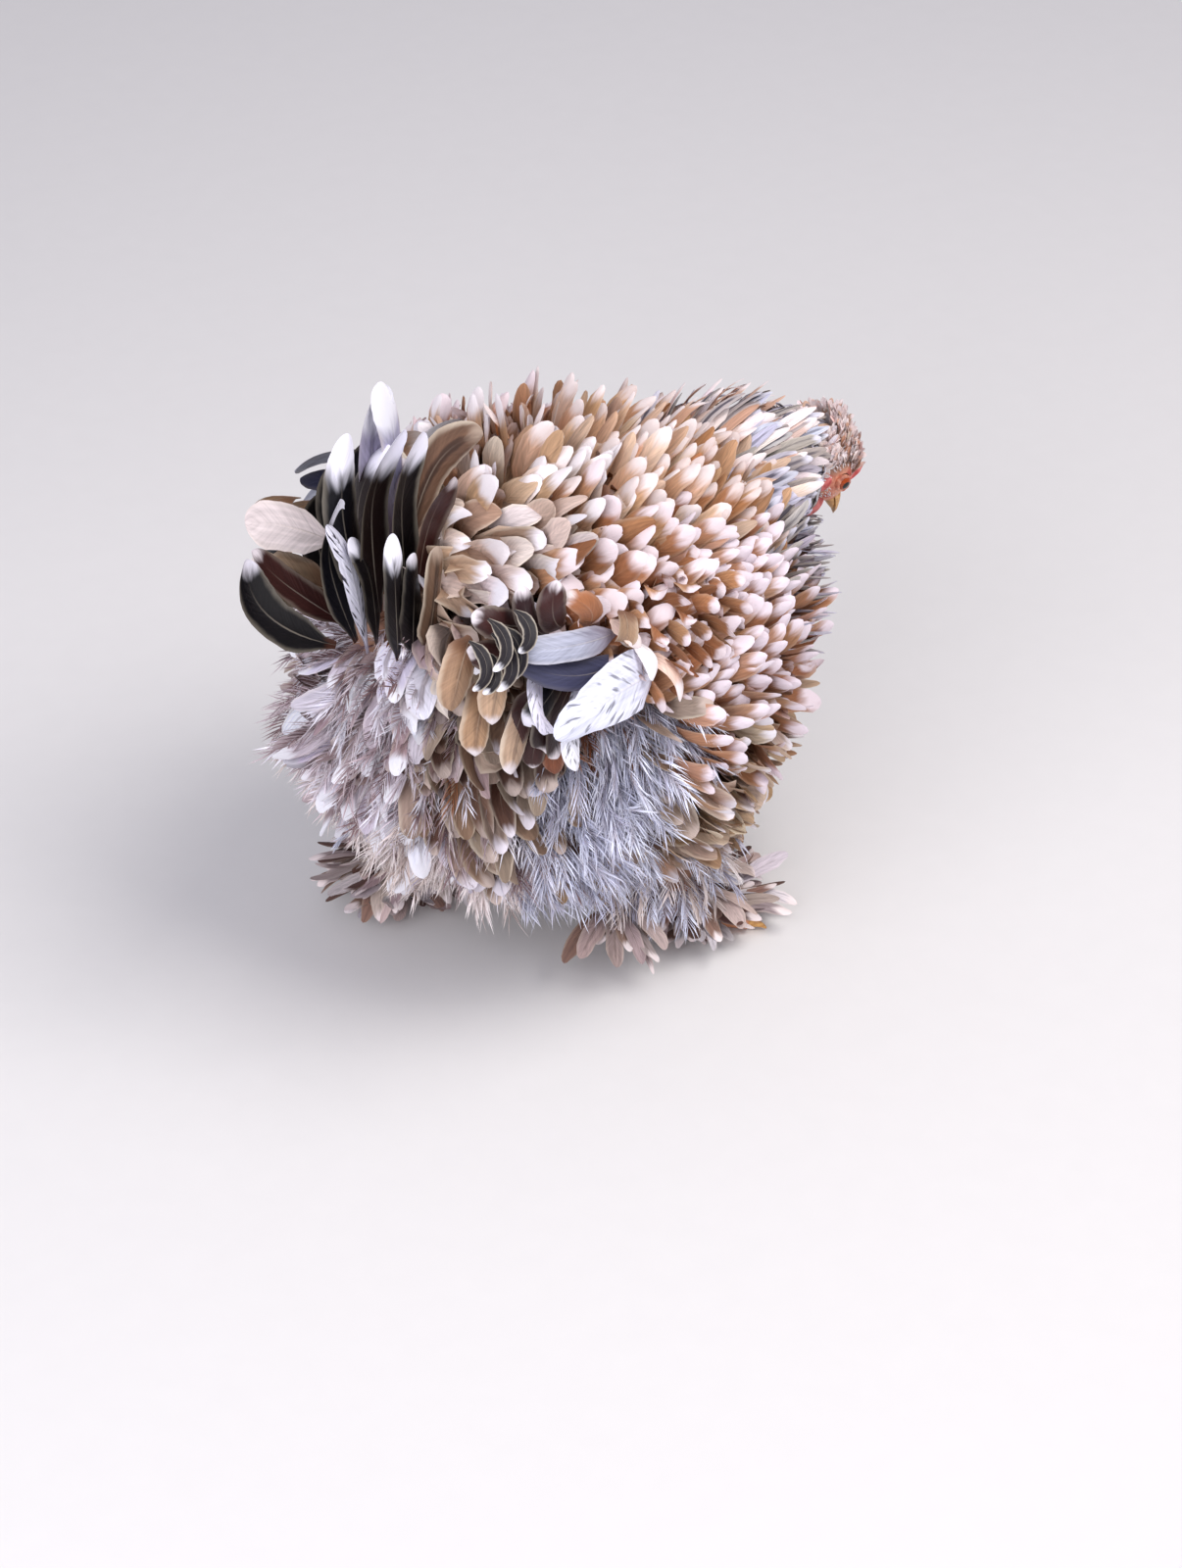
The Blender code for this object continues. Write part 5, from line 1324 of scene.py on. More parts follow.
@dataclass(frozen=True)
class BillHalf:
    """One half of the bill, through stations of forward, half width and height. Its flat side is at the mouth, under
    the half where sign is 1. Droop is how far its tip bends down, and dent how deep the nostrils are."""

    name: str
    stations: tuple[Triple, ...]
    mouth: float
    sign: float
    droop: float
    tip: float
    dent: float

    def fall(self, forward: Number) -> Number:
        """How far the half has bent down, by a square law from its base."""
        return self.droop * ((forward - .0118) / .0120) ** 2

    def build(self) -> None:
        """Makes the half: half-oval rings along the bill, flat at the mouth, with the nostrils as dents."""
        rows, flats = 36, np.linspace(-1, 1, 10)[None, 1:-1]
        forward, wide, high = catmull(np.array(self.stations), np.linspace(0, 1, rows)).T[..., None]
        turn = np.linspace(0, math.pi, 32)[None]
        side = np.concatenate([np.cos(turn) * wide, flats * wide], 1)
        up = np.concatenate([np.sin(turn) ** .9 * high * self.sign, np.zeros((rows, 8))], 1)
        up = up + self.mouth - self.fall(forward)
        near = ((forward - .0150) / .0012) ** 2 + ((up - self.mouth - .0026) / .0007) ** 2
        side = side * (1 - self.dent * np.exp(-near))
        base = head_point(.0085, 0, self.mouth + .0015 * self.sign)
        last = head_point(self.tip, 0, self.mouth - self.fall(self.tip) + .0002 * self.sign)
        mesh = tube(head_point(np.broadcast_to(forward, side.shape), side, up), base, last)
        mesh.piece(f"bill_{self.name}", HORN_FINISH, "horn", f"beak_{self.name}")


@dataclass(frozen=True)
class Lobe:
    """A flat hanging lobe of flesh, with its middle and half sizes in the head's frame. It leans forward by tilt
    degrees."""

    name: str
    place: Triple
    half: Triple
    tilt: float

    def build(self, hand: str, node: str) -> None:
        """Makes one: a ball whose sides wave by a few cosines, in shallow folds."""
        cosine, sine = math.cos(math.radians(self.tilt)), math.sin(math.radians(self.tilt))
        axes = np.array([HEAD_FORWARD * cosine + HEAD_UP * sine, LEFT, HEAD_UP * cosine - HEAD_FORWARD * sine])
        forward, out, up = self.place
        centre = head_point(forward, SIDES[hand] * out, up)
        mesh = ball(centre, np.array(self.half), axes, 26, 40)
        local = (mesh.points - centre) @ axes.T / self.half
        folds = .10 * np.cos(7 * local[:, 0] + 2 * local[:, 2]) + .06 * np.cos(9 * local[:, 2])
        mesh.points += LEFT * (self.half[1] * folds * local[:, 1])[:, None]
        mesh.piece(f"{self.name}_{hand}_flesh", COMB_FINISH, "comb", f"{node}_{hand}")


@dataclass
class Head:
    """The head's bare skin, bill, comb, wattles, lobes, eyes and smallest feathers.

    Skull_inset is how far the skin lies inside the solid, lid the radius of the eyelids' rims, tries how many places
    are tried for feathers, and span where along the head they grow."""

    skull_inset: float = .0006
    lid: float = .0010
    comb_points: int = 5
    bill: tuple[BillHalf, ...] = (
        BillHalf("upper", ((.0108, .0052, .0060), (.0155, .0043, .0052), (.0195, .0032, .0040),
                           (.0232, .0019, .0024)), -.0030, 1.0, .0022, .0256, .30),
        BillHalf("lower", ((.0108, .0046, .0038), (.0155, .0036, .0031), (.0190, .0025, .0022),
                           (.0212, .0014, .0014)), -.0034, -1.0, .0016, .0226, 0.0),
    )
    wattle: Lobe = Lobe("wattle", (.0075, .0062, -.0145), (.0046, .0014, .0062), 12)
    earlobe: Lobe = Lobe("lobe", (-.0050, .0124, -.0070), (.0032, .0016, .0044), 20)
    tries: int = 4200
    span: Pair = (-.0165, .0108)
    kind: Variation = Variation((.0050, .0085), (.0028, .0042), (0.0, .8), (.1, .4), .4, (.45, .65))
    shape: VaneShape = VaneShape(rows=5, columns=2, thick=.0002)

    def skull_surface(self, forward: Array, turn: Array) -> Array:
        """Ovals along the bill's axis, fuller at the cheeks.

        Args:
            forward: how far forward each point lies.
            turn: its turn about the axis, from outwards.

        Returns:
            One point for each pair.
        """
        first, last = SKULL[0, 0], SKULL[-1, 0]
        knots = np.interp(np.linspace(first, last, 15), SKULL[:, 0], np.arange(len(SKULL)))
        table = catmull(SKULL, knots / (len(SKULL) - 1))
        wide, high, middle = (catmull(table[:, column], (forward - first) / (last - first)) for column in (1, 2, 3))
        out = np.cos(turn) * (wide - self.skull_inset) * (1 + .10 * np.clip(-np.sin(turn), 0, 1))
        return head_point(forward, out, middle + np.sin(turn) * (high - self.skull_inset))

    def skull(self) -> MeshArrays:
        """The skull as a closed body."""
        grid = np.meshgrid(np.linspace(SKULL[0, 0], SKULL[-1, 0], 44), circle(64), indexing="ij")
        rings = self.skull_surface(*(axis.ravel() for axis in grid)).reshape(*grid[0].shape, 3)
        return tube(rings, head_point(-.0190, 0, .001), head_point(.0150, 0, -.002))

    @staticmethod
    def eye_frame(hand: str) -> tuple[Array, Array]:
        """The middle of an eye, from its solid, and its axes: outwards, and two across."""
        outward = unit(LEFT * SIDES[hand] + HEAD_FORWARD * .28)
        first = unit(np.cross(outward, HEAD_UP))
        return np.array(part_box(f"eye_{hand}")).sum(0) / 2, np.array([outward, first, np.cross(outward, first)])

    def lids(self, hand: str) -> MeshArrays:
        """The rims of the eyelids: a ring round the eye, lower than it is wide, thicker above."""
        centre, (outward, first, second) = self.eye_frame(hand)
        rows, columns = 40, 12
        turn, small = circle(rows)[:, None], circle(columns)[None]
        radial = first * np.cos(turn) + second * (.80 * np.sin(turn))
        thick = self.lid * (1.1 + .25 * np.sin(turn) + .10 * np.cos(9 * turn))
        across = EYE_RADIUS * .96 + thick * np.cos(small)
        rings = centre + outward * EYE_RADIUS * .42 + radial[:, None] * across[..., None]
        rings = rings + outward * (thick * np.sin(small))[..., None]
        row, column = np.meshgrid(np.arange(rows), np.arange(columns), indexing="ij")
        ahead, beside = (row + 1) % rows * columns, (column + 1) % columns
        quads = np.stack([row * columns + column, row * columns + beside, ahead + beside, ahead + column], -1)
        return MeshArrays(rings.reshape(-1, 3), quads.reshape(-1, 4), np.zeros((0, 3), int)).outward()

    def eye(self, hand: str) -> None:
        """Makes an eye: a ball with its pole outwards, whose map holds the distance from the pole."""
        centre, axes = self.eye_frame(hand)
        mesh = ball(centre, np.full(3, EYE_RADIUS), axes, 24, 36)
        radius = np.linalg.norm(np.cross(mesh.points - centre, axes[0]), axis=1) / EYE_RADIUS
        radius = np.where((mesh.points - centre) @ axes[0] > 0, radius, 1.0)
        mesh.maps["Vane"] = np.stack([radius, np.zeros(len(radius))], -1)
        mesh.piece(f"eye_{hand}_ball", EYE_FINISH, "eye", f"eye_{hand}", sharp=180)

    def comb(self) -> None:
        """Makes the comb, a low plate along the crown: its top is a half sine and a cosine wave for each point."""
        share, turn = np.linspace(0, 1, 90), circle(16)
        forward = -.0075 + .0215 * share
        envelope = np.sin(math.pi * (.12 + .80 * (1 - share))) ** .7
        teeth = (.5 - .5 * np.cos(2 * math.pi * self.comb_points * share)) ** .8
        top = .0132 + envelope * (.0036 + .0038 * teeth)
        bottom = np.interp(share, [0, .6, 1], [.0105, .0070, .0010])
        flank = np.sign(np.cos(turn)) * np.abs(np.cos(turn)) ** .6
        rise = (.5 + .5 * np.sin(turn))[None]
        half = (.0014 - .0003 * teeth)[:, None] * (1.15 - .45 * rise)
        side = flank[None] * half + .0005 * np.sin(share * 9 + .6)[:, None] * rise
        up = bottom[:, None] + (top - bottom)[:, None] * rise
        rings = head_point(np.broadcast_to(forward[:, None], side.shape), side, up)
        mesh = tube(rings, head_point(forward[0] - .0006, 0, .0125), head_point(forward[-1] + .0006, 0, .0045))
        mesh.piece("comb_flesh", COMB_FINISH, "comb", "comb")

    def feathers(self, rng: Random) -> None:
        """Makes the smallest feathers, on the crown, nape and cheeks, and bristles on part of the bare face."""
        forward = rng.uniform(*self.span, self.tries)
        turn = rng.uniform(0, 2 * math.pi, self.tries)
        root = self.skull_surface(forward, turn)
        normal = unit(np.cross(self.skull_surface(forward + 1e-4, turn) - root,
                               self.skull_surface(forward, turn + .01) - root))
        normal *= np.sign((normal * (root - HEAD_CENTRE)).sum(-1, keepdims=True))
        up, out = (root - HEAD_CENTRE) @ HEAD_UP, np.abs((root - HEAD_CENTRE) @ LEFT)
        eye = np.minimum(*(np.linalg.norm(root - self.eye_frame(name)[0], axis=1) for name in SIDES))
        under_comb = (out < .0028) & (forward > -.007) & (up > 0)
        muzzle, chin = (forward > .0030) & (up < .0085), (forward > -.004) & (up < -.0080)
        bare = (eye < .0092) | under_comb | muzzle | chin
        bristled = (eye > .0064) & (forward < .0095) & (up < .0100) & (rng.random(self.tries) < .30)
        kept = ~bare | bristled
        root, normal, up, out, forward, turn, small = (
            values[kept] for values in (root, normal, up, out, forward, turn, bare)
        )
        count = len(root)
        loose = rng.normal(0, 1, (count, 3))
        crown, pale = Dress.CROWN.colours(count, rng), Dress.CHEEK.colours(count, rng)
        high, behind = smooth(up, .004, .012), smooth(-forward, .008, .015)
        rise, back = high[:, None], behind[:, None]
        size = np.interp(forward, [-.016, .010], [1.4, .75]) + .3 * high + .7 * behind
        cheek = (up < .004) | (rng.random((count, 1))[:, 0] < np.interp(out, [.004, .008], [.85, .3]))
        vanes = Vanes(
            root=root - normal * .0004,
            start=unit(normal * (.55 + .3 * rise) - HEAD_FORWARD * .8 + loose * .15),
            end=unit(-HEAD_FORWARD + normal * (.20 + .3 * rise + .4 * back) + loose[::-1] * .25),
            across=unit(np.cross(normal, HEAD_FORWARD)),
            colours=np.where(cheek[:, None, None], pale, crown),
            **self.kind.draw(
                count, rng, length=np.where(small, .46, size), width=np.where(small, .22, 1 + .3 * behind)
            ),
            bake=.02 + .96 * np.stack([turn / (2 * math.pi), (forward + .0165) / .0273], -1),
        )
        self.shape.grow(vanes, rng).piece("coat_head", PLUME_FINISH, "face")

    def build(self, rng: Random) -> None:
        """Makes everything of the head but its skin."""
        for half in self.bill:
            half.build()
        self.comb()
        self.feathers(rng)
        for hand in SIDES:
            self.eye(hand)
            self.wattle.build(hand, "wattle")
            self.earlobe.build(hand, "earlobe")


@dataclass
class Feet:
    """Shanks, toes and claws, turned outwards by some degrees. A toe is its angle from straight ahead in degrees and
    its length. A claw station is how far past the toe it lies, its height and its radius."""

    toes: tuple[Pair, ...] = ((-34.0, .029), (0.0, .036), (34.0, .029), (172.0, .014))
    turn_out: float = 6.0
    claw: tuple[Triple, ...] = (
        (-.0010, .0034, .0021), (.0022, .0036, .0018), (.0050, .0028, .0012), (.0070, .0014, .0005),
    )

    def toe_lines(self, hand: str) -> list[tuple[Array, Array]]:
        """Where each toe ends on the floor, and the way it points."""
        lines = []
        for degrees, length in self.toes:
            angle = math.radians(degrees + self.turn_out * SIDES[hand])
            heading = np.array([math.cos(angle), math.sin(angle), 0.0])
            lines.append((FEET[hand] + heading * length, heading))
        return lines

    def flesh(self, hand: str) -> list[MeshArrays]:
        """The shank and toes, ringed by scales."""
        foot, hock = FEET[hand], leg_of(hand).path[-1]
        path = np.array([hock + UP * .004, (hock + foot) / 2 + UP * .004, foot + UP * .0062])
        bodies = [Limb(path, (.0058, .0050, .0058)).mesh(30, 20, .03)]
        radii = TOE_RADIUS * np.array([1.15, .97, .80])
        for end, _ in self.toe_lines(hand):
            path = np.array([foot, (foot + end) / 2, end]) + UP * (radii + FLOOR_CLEAR)[:, None]
            bodies.append(Limb(path, tuple(radii)).mesh(34, 18, .04))
        return bodies

    def claws(self) -> None:
        """Makes the eight claws: short tapered horns that bend to the floor."""
        for hand in SIDES:
            for index, (end, heading) in enumerate(self.toe_lines(hand)):
                start = end + heading * TOE_RADIUS * .37
                path = np.array([start + heading * along + UP * height for along, height, _ in self.claw])
                mesh = Limb(path, tuple(radius for _, _, radius in self.claw)).mesh(16, 14)
                name = f"claw_{hand}_{index + 1}"
                mesh.piece(f"{name}_horn", HORN_FINISH, "horn", name)


@dataclass
class Flesh:
    """The one skin under the coat: trunk, neck, head, legs, feet, wing pads and tail root joined."""

    head: Head
    feet: Feet

    def build(self) -> None:
        """Joins the bodies by one Boolean union."""
        bodies = [NECK.mesh(30, 32), self.head.skull(), *(wing_pad(hand).mesh() for hand in SIDES)]
        bodies.append(TAIL_ROOT.mesh())
        for hand in SIDES:
            bodies += [leg_of(hand).mesh(), self.head.lids(hand), *self.feet.flesh(hand)]
        skin = TRUNK.mesh().to_object("skin")
        group = bpy.data.collections.new("skin_pieces")
        for index, body in enumerate(bodies):
            obj = body.to_object(f"skin_piece_{index}")
            bpy.context.scene.collection.objects.unlink(obj)
            group.objects.link(obj)
        join = skin.modifiers.new("join", "BOOLEAN")
        join.operation, join.solver, join.operand_type = "UNION", "MANIFOLD", "COLLECTION"
        join.collection = group
        joined = bpy.data.meshes.new_from_object(skin.evaluated_get(bpy.context.evaluated_depsgraph_get()))
        skin.modifiers.clear()
        skin.data = joined
        for obj in list(group.objects):
            bpy.data.objects.remove(obj)
        bpy.data.collections.remove(group)
        joined.shade_smooth()
        joined.set_sharp_from_angle(angle=math.radians(60))
        limbs = [f"{part}_{hand}" for part in ("wing", "leg", "foot") for hand in SIDES]
        finished(skin, SKIN_FINISH, "face", "torso", "neck", "head", "tail", *limbs)


# Finishes


@dataclass(frozen=True)
class Term:
    """What a node of a graph puts out, with which sums can be written."""

    graph: "Graph"
    socket: bpy.types.NodeSocket

    def __add__(self, other: "Term | float") -> "Term":
        """The sum."""
        return self.graph.math("ADD", self, other)

    def __sub__(self, other: "Term | float") -> "Term":
        """The difference."""
        return self.graph.math("SUBTRACT", self, other)

    def __rsub__(self, other: float) -> "Term":
        """The difference from a plain number."""
        return self.graph.math("SUBTRACT", other, self)

    def __mul__(self, other: "Term | float") -> "Term":
        """The product."""
        return self.graph.math("MULTIPLY", self, other)


Value = Term | float | tuple[float, ...]
Paint = tuple[Term, Term | None]


class Graph:
    """A node tree that is built from expressions."""

    def __init__(self, tree: bpy.types.NodeTree) -> None:
        """Keeps the tree."""
        self.tree = tree

    def feed(self, node: bpy.types.Node, inputs: dict[str | int, Value]) -> None:
        """Sets a node's inputs: links what other nodes put out, and keeps plain values on the socket."""
        for name, value in inputs.items():
            if isinstance(value, Term):
                self.tree.links.new(value.socket, node.inputs[name])
            else:
                node.inputs[name].default_value = value

    def add(self, kind: str, inputs: dict[str | int, Value] | None = None, **settings: object) -> bpy.types.Node:
        """A new node.

        Args:
            kind: the node's type, without its prefix.
            inputs: what feeds each input.
            settings: the node's own settings.

        Returns:
            The node.
        """
        node = self.tree.nodes.new(f"ShaderNode{kind}")
        for name, value in settings.items():
            setattr(node, name, value)
        self.feed(node, inputs or {})
        return node

    def out(self, kind: str, inputs: dict[str | int, Value] | None = None, output: str | int = 0,
            **settings: object) -> Term:
        """One output of a new node, in the terms of add."""
        return Term(self, self.add(kind, inputs, **settings).outputs[output])

    def math(self, operation: str, first: Value, second: Value = 0.0) -> Term:
        """One sum on two numbers."""
        return self.out("Math", {0: first, 1: second}, operation=operation)

    def step(self, value: Term, low: Value, high: Value) -> Term:
        """0 below low, 1 above high, smooth between them."""
        return self.out("MapRange", {"Value": value, "From Min": low, "From Max": high},
                        interpolation_type="SMOOTHSTEP")

    def mix(self, share: Value, first: Value, second: Value, blend: str = "MIX") -> Term:
        """A colour mixed from two."""
        return self.out("Mix", {0: share, 6: first, 7: second}, 2, data_type="RGBA", blend_type=blend)

    def noise(self, vector: Term, scale: Value, detail: float = 2.0) -> Term:
        """Noise at places, 0 to 1."""
        return self.out("TexNoise", {"Vector": vector, "Scale": scale, "Detail": detail})

    def place(self, x: Value, y: Value, z: Value) -> Term:
        """A vector from three numbers."""
        return self.out("CombineXYZ", {0: x, 1: y, 2: z})

    def group(self, name: str, inputs: dict[str | int, Value]) -> list[Term]:
        """The outputs of a node group, fed by its inputs."""
        node = self.add("Group", inputs, node_tree=bpy.data.node_groups[name])
        return [Term(self, socket) for socket in node.outputs]

    def here(self) -> Term:
        """The place on the object."""
        return self.out("TexCoord", output="Object")

    def vane(self, axis: int) -> Term:
        """The place across a strand, 0, or along it, 1."""
        return self.out("SeparateXYZ", {0: self.out("UVMap", uv_map="Vane")}, axis)


def rgba(colour: Triple) -> tuple[float, float, float, float]:
    """A screen colour, 0 to 255, as a node's linear colour."""
    return (*linear(np.array(colour)), 1.0)


def new_group(
    name: str, inputs: dict[str, str], outputs: dict[str, str]
) -> tuple[Graph, dict[str, Term], bpy.types.Node]:
    """An empty shader node group.

    Args:
        name: the group's name.
        inputs, outputs: its sockets and their types.

    Returns:
        A graph on it, its inputs by name, and the node that takes its outputs.
    """
    tree = bpy.data.node_groups.new(name, "ShaderNodeTree")
    for way, sockets in (("INPUT", inputs), ("OUTPUT", outputs)):
        for label, kind in sockets.items():
            tree.interface.new_socket(label, in_out=way, socket_type=f"NodeSocket{kind}")
    graph, source = Graph(tree), tree.nodes.new("NodeGroupInput")
    return graph, {label: Term(graph, source.outputs[label]) for label in inputs}, tree.nodes.new("NodeGroupOutput")


VANE_INPUTS = {
    "Across": "Float", "Along": "Float", "Ground": "Color", "Luck": "Float", "Tip": "Color", "Tip Size": "Float",
    "Mark": "Color", "Band": "Float", "Stripe": "Float", "Rim": "Float", "Fleck": "Float", "Fluff": "Float",
}


def vane_group() -> None:
    """Makes the group that draws one feather: barbs, soft darker base that is partly painted shade, paler rim, stripe,
    band, flecks, tip and shaft.

    Barbs run outwards and towards the tip, so noise is read along a line that slants with the distance from the
    shaft. Each marking is a mask over the place along and across the feather, roughened by that noise."""
    g, given, sink = new_group("vane markings", VANE_INPUTS, {"Color": "Color", "Height": "Float"})
    across, along, ground, luck, tip, tip_size, mark, band, stripe, rim, fleck, fluff = given.values()
    side = (across - .5) * 2.0
    out = g.math("ABSOLUTE", side)
    slant, seed = along - out * .22, luck * 40.0
    barbs = g.noise(g.place(slant * 30.0, side * .5, seed), 1.0, 4.0)
    clumps = g.noise(g.place(slant * 7.0, side, seed), 1.0)
    streaks = g.noise(g.place(side * 5.0, along * 1.6, seed), 1.0, 3.0)
    spots = g.noise(g.place(slant * 15.0, side * 1.6, seed + 9.0), 1.0)
    rough = clumps - .5
    light = clumps * .30 + barbs * .70 + .10 + streaks * .90
    pale = g.mix(.45, ground, rgba((250, 236, 214)))
    colour = g.mix(1.0, ground, g.place(light, light, light), "MULTIPLY")
    colour = g.mix(g.step(out + rough * .3, .68, .98) * rim, colour, pale)
    wide = stripe * .5
    middle = g.step(out + rough * .4, wide, wide * .4)
    ends = g.step(along, .10, .30) * g.step(along, .96, .80)
    colour = g.mix(middle * ends * stripe, colour, mark)
    colour = g.mix(g.step(spots, .56, .66) * fleck, colour, mark)
    edge = 1.0 - tip_size
    worn = along + rough * .16 - out * out * .05
    colour = g.mix(g.step(worn, edge - .20, edge - .06) * band, colour, mark)
    colour = g.mix(g.step(worn, edge - .08, edge + .05) * g.step(tip_size, .01, .05), colour, tip)
    # Painted shade: near the root the colour is mixed towards a darker, browner copy of the ground. This stands for the
    # downy base and for the shade under the overlapping feathers.
    shaded_base = g.mix(.40, g.out("Gamma", {"Color": ground, "Gamma": 1.5}), rgba((112, 64, 44)))
    colour = g.mix(g.step(along + rough * .2, fluff, fluff * .3) * .85, colour, shaded_base)
    shaft = g.step(out, .06, .015) * g.step(along, .9, .3)
    colour = g.mix(shaft * .4, colour, pale)
    g.feed(sink, {"Color": colour, "Height": barbs * .6 + shaft * .5})


def grain_group() -> None:
    """Makes the group for bare flesh: fine wrinkles from stretched cells, and mottling from slow noise."""
    g, given, sink = new_group(
        "skin grain", {"Vector": "Vector", "Scale": "Float"}, {"Height": "Float", "Mottle": "Float"}
    )
    vector, scale = given.values()
    cells = g.out("TexVoronoi", {"Vector": vector, "Scale": scale}, "Distance", feature="SMOOTH_F1")
    height = cells * .8 + g.noise(vector, scale, 4.0) * .4
    g.feed(sink, {"Height": height, "Mottle": g.noise(vector, scale * .22)})


@dataclass(frozen=True)
class Finish:
    """What every finish has: its material's name, how dull it is, the distance and strength of its bumps, and further
    values of the shader's own sockets."""

    name: str
    roughness: float
    bump: ClassVar[Pair] = (0.0, 0.0)
    gloss: ClassVar[dict[str, float]] = {}

    def paint(self, g: Graph) -> Paint:
        """The colour, and the height of the bumps where it has any."""
        raise NotImplementedError

    def make(self) -> bpy.types.Material:
        """The material: the Principled shader, fed by what paint draws."""
        material = bpy.data.materials.new(self.name)
        material.use_nodes = True
        g, shader = Graph(material.node_tree), material.node_tree.nodes["Principled BSDF"]
        colour, height = self.paint(g)
        if height is not None:
            bump = {"Height": height, "Distance": self.bump[0], "Strength": self.bump[1]}
            g.feed(shader, {"Normal": g.out("Bump", bump)})
        g.feed(shader, {"Base Color": colour, "Roughness": self.roughness, **self.gloss})
        return material


@dataclass(frozen=True)
class FeatherFinish(Finish):
    """Feathers with their markings."""

    bump: ClassVar[Pair] = (.0006, .7)
    gloss: ClassVar[dict[str, float]] = {"Specular IOR Level": .35}

    def paint(self, g: Graph) -> Paint:
        """The vane group, fed by the feather's own map and colours."""
        ground, tip, mark, style = (g.add("Attribute", attribute_name=label).outputs for label in MARKINGS)
        style_parts = g.add("SeparateColor", {0: Term(g, style["Color"])}).outputs
        sockets = [part[label] for part in (ground, tip, mark) for label in ("Color", "Alpha")]
        sockets += [*style_parts[:3], style["Alpha"]]
        feeds = [g.vane(0), g.vane(1), *(Term(g, socket) for socket in sockets)]
        return g.group("vane markings", dict(zip(VANE_INPUTS, feeds)))


@dataclass(frozen=True)
class DownFinish(Finish):
    """Soft down, darker at the roots and paler at the tips."""

    gloss: ClassVar[dict[str, float]] = {"Specular IOR Level": .2}

    def paint(self, g: Graph) -> Paint:
        """The blade's own colour, shaded along it."""
        along = g.vane(1)
        ground = g.out("Attribute", output="Color", attribute_name="ground")
        dark = g.mix(1.0, ground, rgba((212, 203, 200)), "MULTIPLY")
        pale = g.mix(.35, ground, rgba((250, 244, 240)))
        colour = g.mix(g.step(along, 0.0, .55), dark, ground)
        return g.mix(g.step(along, .45, 1.0), colour, pale), None


@dataclass(frozen=True)
class FleshFinish(Finish):
    """Bare flesh, with wrinkles at a scale, and mottling between a dark and a bright red."""

    bump: ClassVar[Pair] = (.0005, .6)
    dark: Triple
    bright: Triple
    scale: float = 900.0

    def colour(self, g: Graph, mottle: Term, place: Term) -> Term:
        """The two reds, mixed by the mottling."""
        return g.mix(g.step(mottle, .35, .65), rgba(self.dark), rgba(self.bright))

    def paint(self, g: Graph) -> Paint:
        """The grain group on Object coordinates."""
        place = g.here()
        height, mottle = g.group("skin grain", {"Vector": place, "Scale": self.scale})
        return self.colour(g, mottle, place), height


@dataclass(frozen=True)
class SkinFinish(FleshFinish):
    """The whole skin: red round the face, dull pink under the coat, yellowish on the feet."""

    coat_colour: Triple = (150, 112, 92)
    foot_colour: Triple = (196, 132, 96)

    def colour(self, g: Graph, mottle: Term, place: Term) -> Term:
        """Masks by the distance from the middle of the face and by the height over the floor."""
        middle = tuple(HEAD_CENTRE + HEAD_FORWARD * .009 - HEAD_UP * .003)
        apart = g.out("VectorMath", {0: place, 1: middle}, "Value", operation="DISTANCE")
        colour = g.mix(g.step(apart, .021, .017), rgba(self.coat_colour), super().colour(g, mottle, place))
        height = g.out("SeparateXYZ", {0: place}, 2)
        return g.mix(g.step(height, .030, .022), colour, rgba(self.foot_colour))


@dataclass(frozen=True)
class HornFinish(Finish):
    """Horn of the bill and claws, with streaks that are finer across than along."""

    bump: ClassVar[Pair] = (.0003, .3)
    pale: Triple
    brown: Triple
    streak: Triple = (20.0, 700.0, 700.0)

    def paint(self, g: Graph) -> Paint:
        """Noise on Object coordinates, stretched down the bill."""
        turned = {"Vector": g.here(), "Rotation": (0.0, HEAD_PITCH, 0.0), "Scale": self.streak}
        streaks = g.noise(g.out("Mapping", turned), 1.0, 3.0)
        return g.mix(g.step(streaks, .35, .68), rgba(self.brown), rgba(self.pale)), streaks


@dataclass(frozen=True)
class EyeFinish(Finish):
    """A wet eye: black pupil, given as a share of its radius, red-orange iris with rays, dark rim."""

    gloss: ClassVar[dict[str, float]] = {"Specular IOR Level": .2, "Coat Weight": .4, "Coat Roughness": .03}
    pupil: float
    iris: Triple
    rays: Triple = (120, 40, 16)
    rim: Triple = (34, 14, 12)

    def paint(self, g: Graph) -> Paint:
        """Rings by the map's distance from the middle of the eye."""
        radius = g.vane(0)
        iris = g.mix(g.noise(g.here(), 1400.0), rgba(self.iris), rgba(self.rays))
        colour = g.mix(g.step(radius, self.pupil, self.pupil + .06), rgba((10, 8, 10)), iris)
        return g.mix(g.step(radius, .78, .86), colour, rgba(self.rim)), None


@dataclass(frozen=True)
class FloorFinish(Finish):
    """Plain pale floor."""

    colour: Triple

    def paint(self, g: Graph) -> Paint:
        """The colour, with a faint grain."""
        low = rgba(tuple(value * .985 for value in self.colour))
        return g.mix(g.noise(g.here(), 60.0, 6.0), low, rgba(self.colour)), None


PLUME_FINISH = FeatherFinish("curled feathers", .74)
FLIGHT_FINISH = FeatherFinish("flight and tail feathers", .45)
DOWN_FINISH = DownFinish("down", .9)
SKIN_FINISH = SkinFinish("skin", .5, (184, 78, 60), (230, 160, 130))
COMB_FINISH = FleshFinish("comb and wattles", .48, (178, 62, 60), (222, 122, 118), 1100.0)
HORN_FINISH = HornFinish("horn", .34, (218, 168, 98), (188, 134, 76))
EYE_FINISH = EyeFinish("eye", .12, .42, (190, 84, 30))
FLOOR_FINISH = FloorFinish("floor", .85, (226, 224, 222))
MADE: dict[str, bpy.types.Material] = {}


